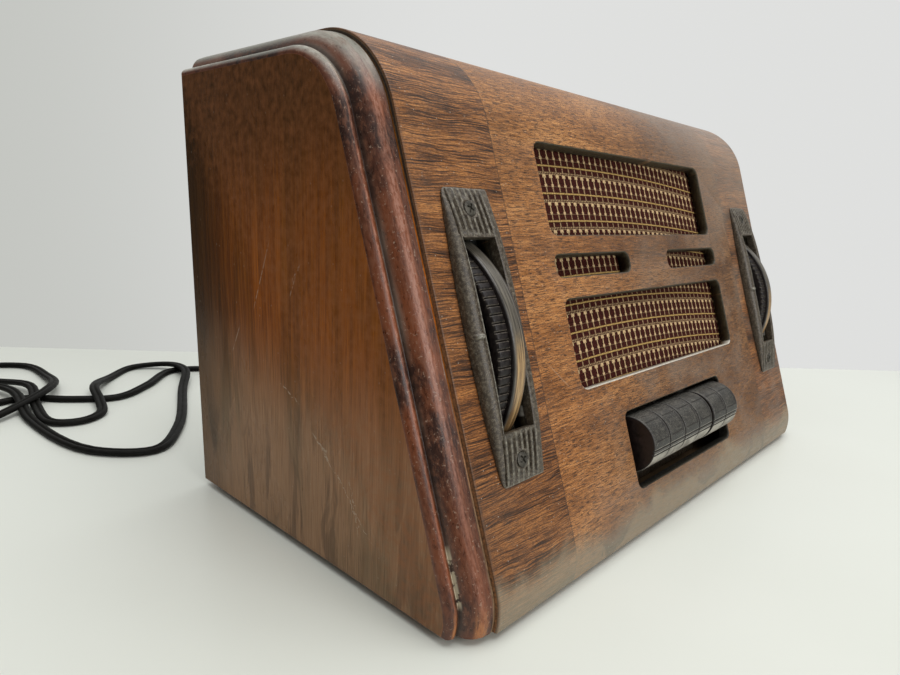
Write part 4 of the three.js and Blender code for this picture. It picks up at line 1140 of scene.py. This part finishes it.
def push_button(index):
    """A half-round key: two fine grooves low on its face and a shallow label recess above them."""
    out = 0.0 if index < 4 else 0.8
    middle = (index - 2.5) * BUTTON_PITCH
    first = math.degrees(math.asin((BUTTON_BACK_H - BUTTON_H) / BUTTON_RADIUS))
    degrees = np.concatenate([[first], np.arange(-10, 190.1, 1.0), [180 - first]])
    half = BUTTON_WIDTH / 2
    edge = np.array([0, .05, .15, .35, .6, .9])
    xs = np.concatenate([-half + edge, np.arange(-half + 1.2, half - 1.15, 0.3), half - edge[::-1]])
    points, wear_and_shading = [], []
    for degree in degrees:
        angle = math.radians(degree)
        inset = half - np.abs(xs)
        r = np.full(len(xs), BUTTON_RADIUS)
        r -= 0.55 * (1 - np.sqrt(np.clip(1 - (1 - np.clip(inset / 0.6, 0, 1)) ** 2, 0, 1)))
        cut = sum(math.exp(-((degree - groove) / 1.35) ** 4) for groove in BUTTON_GROOVES)
        r -= 0.75 * cut
        ridge = sum(math.exp(-((degree - at) / 1.2) ** 2) for at in BUTTON_RIDGES)
        # worn also marks the grooves, the label recess's outline and the very ends with negative values,
        # which the finish paints near black.
        worn = np.full(len(xs), 0.75 * ridge)
        worn = np.where(inset < 0.7, np.maximum(worn, 0.55), worn)
        worn = np.where(inset < 0.3, -0.8, worn)
        worn = worn * (1 - min(1, cut)) - 1.0 * min(1.0, cut)
        dx = inset - 1.5
        dd = min(degree - 48, 92 - degree) * BUTTON_RADIUS * math.pi / 180
        inside = np.minimum(dx, dd)
        r -= 0.22 * smooth(inside, -0.15, 0.15)
        worn = np.where(np.abs(inside) < 0.22, -0.55, worn)
        s = BUTTON_S + r * math.cos(angle)
        h = np.maximum(BUTTON_H + r * math.sin(angle), BUTTON_BACK_H) + out
        points += list(np.column_stack([middle + xs, s, h]))
        wear_and_shading += list(worn)
    rows, columns = len(degrees), len(xs)
    faces = grid_faces(rows, columns, close_rows=True)
    slots = [0] * len(faces)
    faces.append(tuple(i * columns for i in range(rows)))
    faces.append(tuple(i * columns + columns - 1 for i in range(rows))[::-1])
    slots += [1, 1]
    start = len(points)
    for h, chamfer in ((BUTTON_BACK_H - 0.01, 0.0), (STEM_END_H + 0.4, 0.0), (STEM_END_H, 0.4)):
        for x, s in ((-1, -1), (1, -1), (1, 1), (-1, 1)):
            points.append((middle + x * (2.5 - chamfer), BUTTON_S + s * (2 - chamfer), h + out))
            wear_and_shading.append(0.0)
    stem = grid_faces(3, 4, close_columns=True, start=start)
    stem += [(start + 8, start + 9, start + 10, start + 11), (start + 3, start + 2, start + 1, start)]
    name = f"push_button_{index + 1}"
    piece = make_piece(name + "_cap", on_panel(points), faces + stem, [key_plastic, key_end], 42,
                       slots=slots + [0] * len(stem), attributes={"wear_and_shading": wear_and_shading})
    clean(piece)
    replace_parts(piece, name)
    return settle(piece, f"button_{index + 1}")


# ---- Mains cord ----
ON_FLOOR = 3.8
OVER = 11.1
ROUTE = [
    (-52, SLEEVE_END_Y, GROMMET_Z), (-52, 138, 22), (-52, 170, 9), (-53, 240, ON_FLOOR),
    (-66, 272, ON_FLOOR), (-89, 282, ON_FLOOR), (-118, 255, ON_FLOOR), (-143, 239, ON_FLOOR),
    (-166, 251, ON_FLOOR), (-188, 270, ON_FLOOR), (-215, 268, ON_FLOOR), (-242, 281, ON_FLOOR),
    (-243, 306, ON_FLOOR), (-221, 317, 5), (-199, 303, 8), (-192, 274, OVER), (-196, 224, ON_FLOOR),
    (-186, 155, ON_FLOOR), (-162, 136, ON_FLOOR), (-139, 160, ON_FLOOR), (-104, 230, 6), (-86, 266, OVER),
    (-87, 294, 8), (-107, 308, ON_FLOOR), (-129, 290, ON_FLOOR), (-150, 259, OVER), (-156, 232, 7),
    (-162, 213, ON_FLOOR), (-175, 205, ON_FLOOR), (-188, 212, ON_FLOOR), (-187, 248, 5), (-181, 284, OVER),
    (-194, 326, ON_FLOOR), (-204, 350, ON_FLOOR), (-189, 370, ON_FLOOR), (-167, 357, ON_FLOOR),
    (-163, 318, 5), (-172, 272, 12), (-226, 227, 5), (-252, 224, ON_FLOOR),
]
LOBE_RADIUS = 1.58
FLAT_FLOOR = LOBE_RADIUS + 0.4
COIL_RISE = 2 * LOBE_RADIUS + 0.3


def lie(z):
    """Height of the flat flex's centre where the round solid's centre is z above the floor."""
    return FLAT_FLOOR + (z - ON_FLOOR) * 0.55


def centripetal(points, per_span):
    """Centripetal Catmull-Rom through the points."""
    p = [np.array(q, float) for q in points]
    p = [2 * p[0] - p[1], *p, 2 * p[-1] - p[-2]]
    made = []
    for i in range(1, len(p) - 2):
        a, b, c, d = p[i - 1:i + 3]
        t = [0.0]
        for m, n in ((a, b), (b, c), (c, d)):
            t.append(t[-1] + math.sqrt(np.linalg.norm(n - m)))
        for k in range(per_span):
            u = t[1] + (t[2] - t[1]) * k / per_span
            ab = a * (t[1] - u) / (t[1] - t[0]) + b * (u - t[0]) / (t[1] - t[0])
            bc = b * (t[2] - u) / (t[2] - t[1]) + c * (u - t[1]) / (t[2] - t[1])
            cd = c * (t[3] - u) / (t[3] - t[2]) + d * (u - t[2]) / (t[3] - t[2])
            abc = ab * (t[2] - u) / (t[2] - t[0]) + bc * (u - t[0]) / (t[2] - t[0])
            bcd = bc * (t[3] - u) / (t[3] - t[1]) + cd * (u - t[1]) / (t[3] - t[1])
            made.append(abc * (t[2] - u) / (t[2] - t[1]) + bcd * (u - t[1]) / (t[2] - t[1]))
    return made + [p[-2]]


def cord_centreline():
    lead = [(x, y, z if i < 2 else lie(z)) for i, (x, y, z) in enumerate(ROUTE)]
    coil = []
    turns = int(COIL_TURNS * 24)
    for k in range(turns + 1):
        angle = math.pi / 2 + 2 * math.pi * k / 24
        z = FLAT_FLOOR + COIL_RISE * k / 24
        coil.append((COIL_X + COIL_RADIUS * math.cos(angle), COIL_Y + COIL_RADIUS * math.sin(angle), z))
    top = coil[-1][2]
    down = [(166, top - 0.8), (152, top - 1.2), (138, PLUG_Z - 1.0), (PLUG_Y - 1, PLUG_Z)]
    tail = [(PLUG_X, y, z) for y, z in down]
    return centripetal(lead + coil + tail, 6)


def flex_section():
    """Outline of twin flex: two round lobes side by side with a shallow valley between them."""
    centre = CORD_WIDTH / 2 - LOBE_RADIUS
    reach = math.degrees(math.acos(-centre / LOBE_RADIUS)) - 4
    section = []
    for side in (1, -1):
        for k in range(13):
            angle = math.radians(-reach + 2 * reach * k / 12)
            if side < 0:
                angle = math.pi + angle
            section.append((side * centre + LOBE_RADIUS * math.cos(angle), LOBE_RADIUS * math.sin(angle)))
    return section


def mains_cord():
    line = np.array(cord_centreline())
    section = flex_section()
    points, uv = [], []
    travelled = 0.0
    for i, point in enumerate(line):
        ahead = line[min(i + 1, len(line) - 1)] - line[max(i - 1, 0)]
        ahead /= np.linalg.norm(ahead)
        side = np.cross(ahead, (0, 0, 1))
        side /= np.linalg.norm(side)
        normal = np.cross(side, ahead)
        if i:
            travelled += np.linalg.norm(point - line[i - 1])
        for k, (a, b) in enumerate(section):
            points.append(point + side * a + normal * b)
            uv.append((travelled, k))
    faces = tube_faces(len(line), len(section))
    piece = make_piece("mains_flex", points, faces, [cord_rubber], 60, uv)
    clean(piece)
    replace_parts(piece, "mains_cord", "cord_coil", "cord_tail")
    settle(piece, "cabinet")
    return piece, line, travelled


def lathe(name, profile, centre, material, sectors, grooves=0, depth=0.0):
    """A piece turned about Y, from (radius, station) points. A third number 1 gives a point flutes."""
    angles = 2 * np.pi * np.arange(sectors) / sectors
    flute = (0.5 + 0.5 * np.cos(angles * grooves)) ** 3 if grooves else np.zeros(sectors)
    points = []
    for radius, station, *fluted in profile:
        r = radius - depth * flute * (fluted[0] if fluted else 0)
        ring = np.column_stack([r * np.cos(angles), np.full(sectors, station), r * np.sin(angles)])
        points.append(ring + np.array(centre))
    piece = make_piece(name, np.vstack(points), tube_faces(len(profile), sectors), [material], 40)
    clean(piece)
    return piece


def plug():
    """A fluted moulded plug with a waisted grip; the blades stay as their CAD solids."""
    profile = [
        (10.9, -34), (11.4, -33.4), (11.5, -32.6), (11.5, -21), (11.3, -20.2), (10.2, -18.6, 1),
        (9.3, -16.5, 1), (8.7, -13, 1), (8.3, -9, 1), (7.6, -5, 1), (6.6, -2.4), (5.6, -0.6), (4.6, 0),
    ]
    piece = lathe("plug_grip", profile, (PLUG_X, PLUG_Y, PLUG_Z), plug_bakelite, 96, 16, 0.8)
    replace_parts(piece, "plug_body")
    return settle(piece, "cabinet")


def strain_relief():
    inside = BACK_Y - 5.0 - 1.6
    profile = [(3.6, inside), (8.0, inside), (8.0, BACK_Y - 5.3), (5.5, BACK_Y - 5.3), (5.5, BACK_Y - 1.5),
               (7.7, BACK_Y - 1.45), (8.0, BACK_Y - 1.1), (7.9, BACK_Y - 0.2), (7.4, BACK_Y)]
    for k in range(8):
        start = BACK_Y + 0.8 + k * 3.0
        crest = 6.3 - 0.21 * k
        valley = crest - 0.8
        profile += [(crest, start), (crest, start + 1.8), (valley, start + 2.0), (valley, start + 2.8)]
    profile += [(4.6, BACK_Y + 24.9), (3.6, BACK_Y + 25.0)]
    piece = lathe("strain_relief", profile, (GROMMET_X, 0, GROMMET_Z), cord_rubber, 40)
    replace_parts(piece, "cord_grommet")
    return settle(piece, "cabinet")


def coil_tie():
    """A soft strap round the coil's turns."""
    low, high = 0.5, FLAT_FLOOR + COIL_RISE * COIL_TURNS + LOBE_RADIUS + 0.9
    angle = math.radians(-60)
    outward_x, outward_y = math.cos(angle), math.sin(angle)
    loop = rounded_loop(-CORD_WIDTH / 2 - 0.7, CORD_WIDTH / 2 + 0.7, low, high, 1.8, steps=6)
    inner = rounded_loop(-CORD_WIDTH / 2 - 0.1, CORD_WIDTH / 2 + 0.1, low + 0.5, high - 0.5, 1.3, steps=6)
    points = []
    for ring, width in ((inner, 4.6), (inner, -4.6), (loop, -4.4), (loop, 4.4)):
        for r, z in ring:
            x = COIL_X + (COIL_RADIUS + r) * outward_x - width * outward_y
            y = COIL_Y + (COIL_RADIUS + r) * outward_y + width * outward_x
            points.append((x, y, z))
    faces = grid_faces(4, len(loop), close_rows=True, close_columns=True)
    piece = make_piece("cord_tie", points, faces, [tie_fabric], 50)
    clean(piece)
    return settle(piece, "cabinet")


# ---- Floor and light ----
def table():
    """A white table top whose far edge runs diagonally behind the radio."""
    corners = [(-390, 644), (1750, -1271), (900, -3400), (-390, -3400)]
    points = [(x, y, z) for z in (0, -28) for x, y in corners]
    faces = [(3, 2, 1, 0), (4, 5, 6, 7), *[(k, (k + 1) % 4, 4 + (k + 1) % 4, 4 + k) for k in range(4)]]
    piece = make_piece("table", points, faces, [table_top()], 30)


def softbox(name, place, target, size, power):
    data = bpy.data.lights.new(name, "AREA")
    data.shape = "RECTANGLE"
    data.size, data.size_y = size
    data.energy = power
    lamp = bpy.data.objects.new(name, data)
    bpy.context.scene.collection.objects.link(lamp)
    lamp.location = place
    lamp.rotation_euler = (Vector(target) - Vector(place)).to_track_quat("-Z", "Y").to_euler()


def surroundings():
    """A pale wall beyond the table on the +X +Y side, a dimmer room elsewhere, and soft lamps above."""
    world = bpy.data.worlds.new("studio")
    world.use_nodes = True
    room = Paint("studio", world.node_tree)
    x, y, z = room.split(room.field("ShaderNodeTexCoord", {}, "Generated"))
    wall = room.span(x, -0.15, 0.2) * room.span(y, -0.35, 0.05)
    wall = room.mix(
        wall, (0.13, 0.125, 0.12),
        room.mix(room.span(x, 0.15, 0.75), (0.55, 0.56, 0.53), (0.74, 0.745, 0.735))
    )
    sky = room.mix(room.span(z, 0.35, 0.9), wall, (0.62, 0.62, 0.61))
    light = room.field("ShaderNodeBackground", {"Color": sky, "Strength": 1.0})
    room.node("ShaderNodeOutputWorld", {"Surface": light})
    bpy.context.scene.world = world
    bpy.context.scene.view_settings.view_transform = "Standard"
    softbox("overhead", (0.0, -0.25, 1.5), (0.0, 0.0, 0.05), (1.5, 1.2), 14)
    softbox("front_fill", (0.0, -1.75, 0.72), (0.0, -0.05, 0.08), (1.1, 0.7), 13)


# ---- Build ----
lacquered_wood = lacquered_board()
moulding_wood = moulding_lacquer()
veneer_wood = front_veneer()
ply_wood = ply_edge()
stained_edge = cut_edge()
weave = woven_grille()
moulded = dusty_moulded()
drum_plastic = thumbwheel_drum()
band_plastic = thumbwheel_band()
key_plastic = button_plastic()
key_end = button_end()
screw_dark = aged("screw_dark", (0.030, 0.027, 0.022), (0.110, 0.100, 0.080), 0.45, 1.2, 0.6)
screw_steel = aged("screw_steel", (0.16, 0.14, 0.11), (0.34, 0.32, 0.28), 0.4, 1.0, 0.9)
cord_rubber = aged("cord_rubber", (0.0022, 0.0021, 0.0017), (0.006, 0.0056, 0.0046), 0.5, 0.8, 0.0,
                   0.01, 0.06, specular=0.08)
plug_bakelite = aged("plug_bakelite", (0.012, 0.007, 0.005), (0.035, 0.021, 0.015), 0.35, 0.6, 0.0, 0.3)
tie_fabric = aged("tie_fabric", (0.02, 0.02, 0.022), (0.05, 0.05, 0.055), 0.95, 1.6, 0.0, 0.1, 0.3)

side_board(-1)
side_board(1)
front_shell()
grille_cloth()
escutcheon(-1, "escutcheon_left")
escutcheon(1, "escutcheon_right")
escutcheon_screw(-1, -1, "escutcheon_screw_left_lower", 0.5)
escutcheon_screw(-1, 1, "escutcheon_screw_left_upper", 1.1)
escutcheon_screw(1, -1, "escutcheon_screw_right_lower", 0.2)
escutcheon_screw(1, 1, "escutcheon_screw_right_upper", 0.9)
back_screw(1, -146, 22, 0.3)
back_screw(2, 146, 22, 1.2)
back_screw(3, -146, 164, 2.0)
back_screw(4, 146, 164, 0.8)
thumbwheel(-1, "volume_wheel", "volume_wheel_body")
thumbwheel(1, "tuning_wheel", "tuning_wheel_body")
for number in range(6):
    push_button(number)

relief = strain_relief()
grip = plug()
tie = coil_tie()
flex, flex_line, flex_length = mains_cord()

CAD_FINISHES = {
    "raw_ply": plywood_face(),
    "hardboard": pressed_fibre(),
    "steel": aged("plated_steel", (0.20, 0.19, 0.16), (0.42, 0.41, 0.37), 0.42, 0.4, 0.85, 0.4),
    "brass": aged("worn_brass", (0.36, 0.24, 0.09), (0.62, 0.46, 0.20), 0.34, 0.6, 0.9, 0.1),
    "aluminium": aged("dull_aluminium", (0.38, 0.38, 0.37), (0.60, 0.60, 0.59), 0.38, 0.4, 0.9, 0.4),
    "paper_cone": aged("paper_cone", (0.020, 0.017, 0.014), (0.050, 0.043, 0.035), 0.95, 1.0, 0.0, 0.4),
    "valve_glass": valve_glass(),
    "bakelite": aged("brown_bakelite", (0.022, 0.011, 0.007), (0.065, 0.034, 0.021), 0.38, 0.5, 0.0, 0.3),
    "iron_core": aged("painted_iron", (0.035, 0.033, 0.030), (0.095, 0.090, 0.080), 0.55, 0.5, 0.4, 0.4),
    "rubber": cord_rubber,
    "felt": aged("felt_pad", (0.030, 0.029, 0.026), (0.080, 0.078, 0.070), 0.97, 1.8, 0.0, 0.0, 0.4),
    "dark_plastic": drum_plastic,
}


def finish_cad_nodes():
    """CAD solids that stay get their slot's finish, joined facets and softened edges."""
    for node in NODES.values():
        if node.hide_render:
            continue
        slot = node.data.materials[0].name.split(".")[0]
        node.data.materials[0] = CAD_FINISHES[slot]
        weld = node.modifiers.new("weld", "WELD")
        weld.merge_threshold = 0.00001
        bevel = node.modifiers.new("bevel", "BEVEL")
        bevel.width = 0.00025
        bevel.segments = 2
        bevel.limit_method = "ANGLE"
        bevel.angle_limit = math.radians(35)
        bevel.harden_normals = False


finish_cad_nodes()
table()
surroundings()
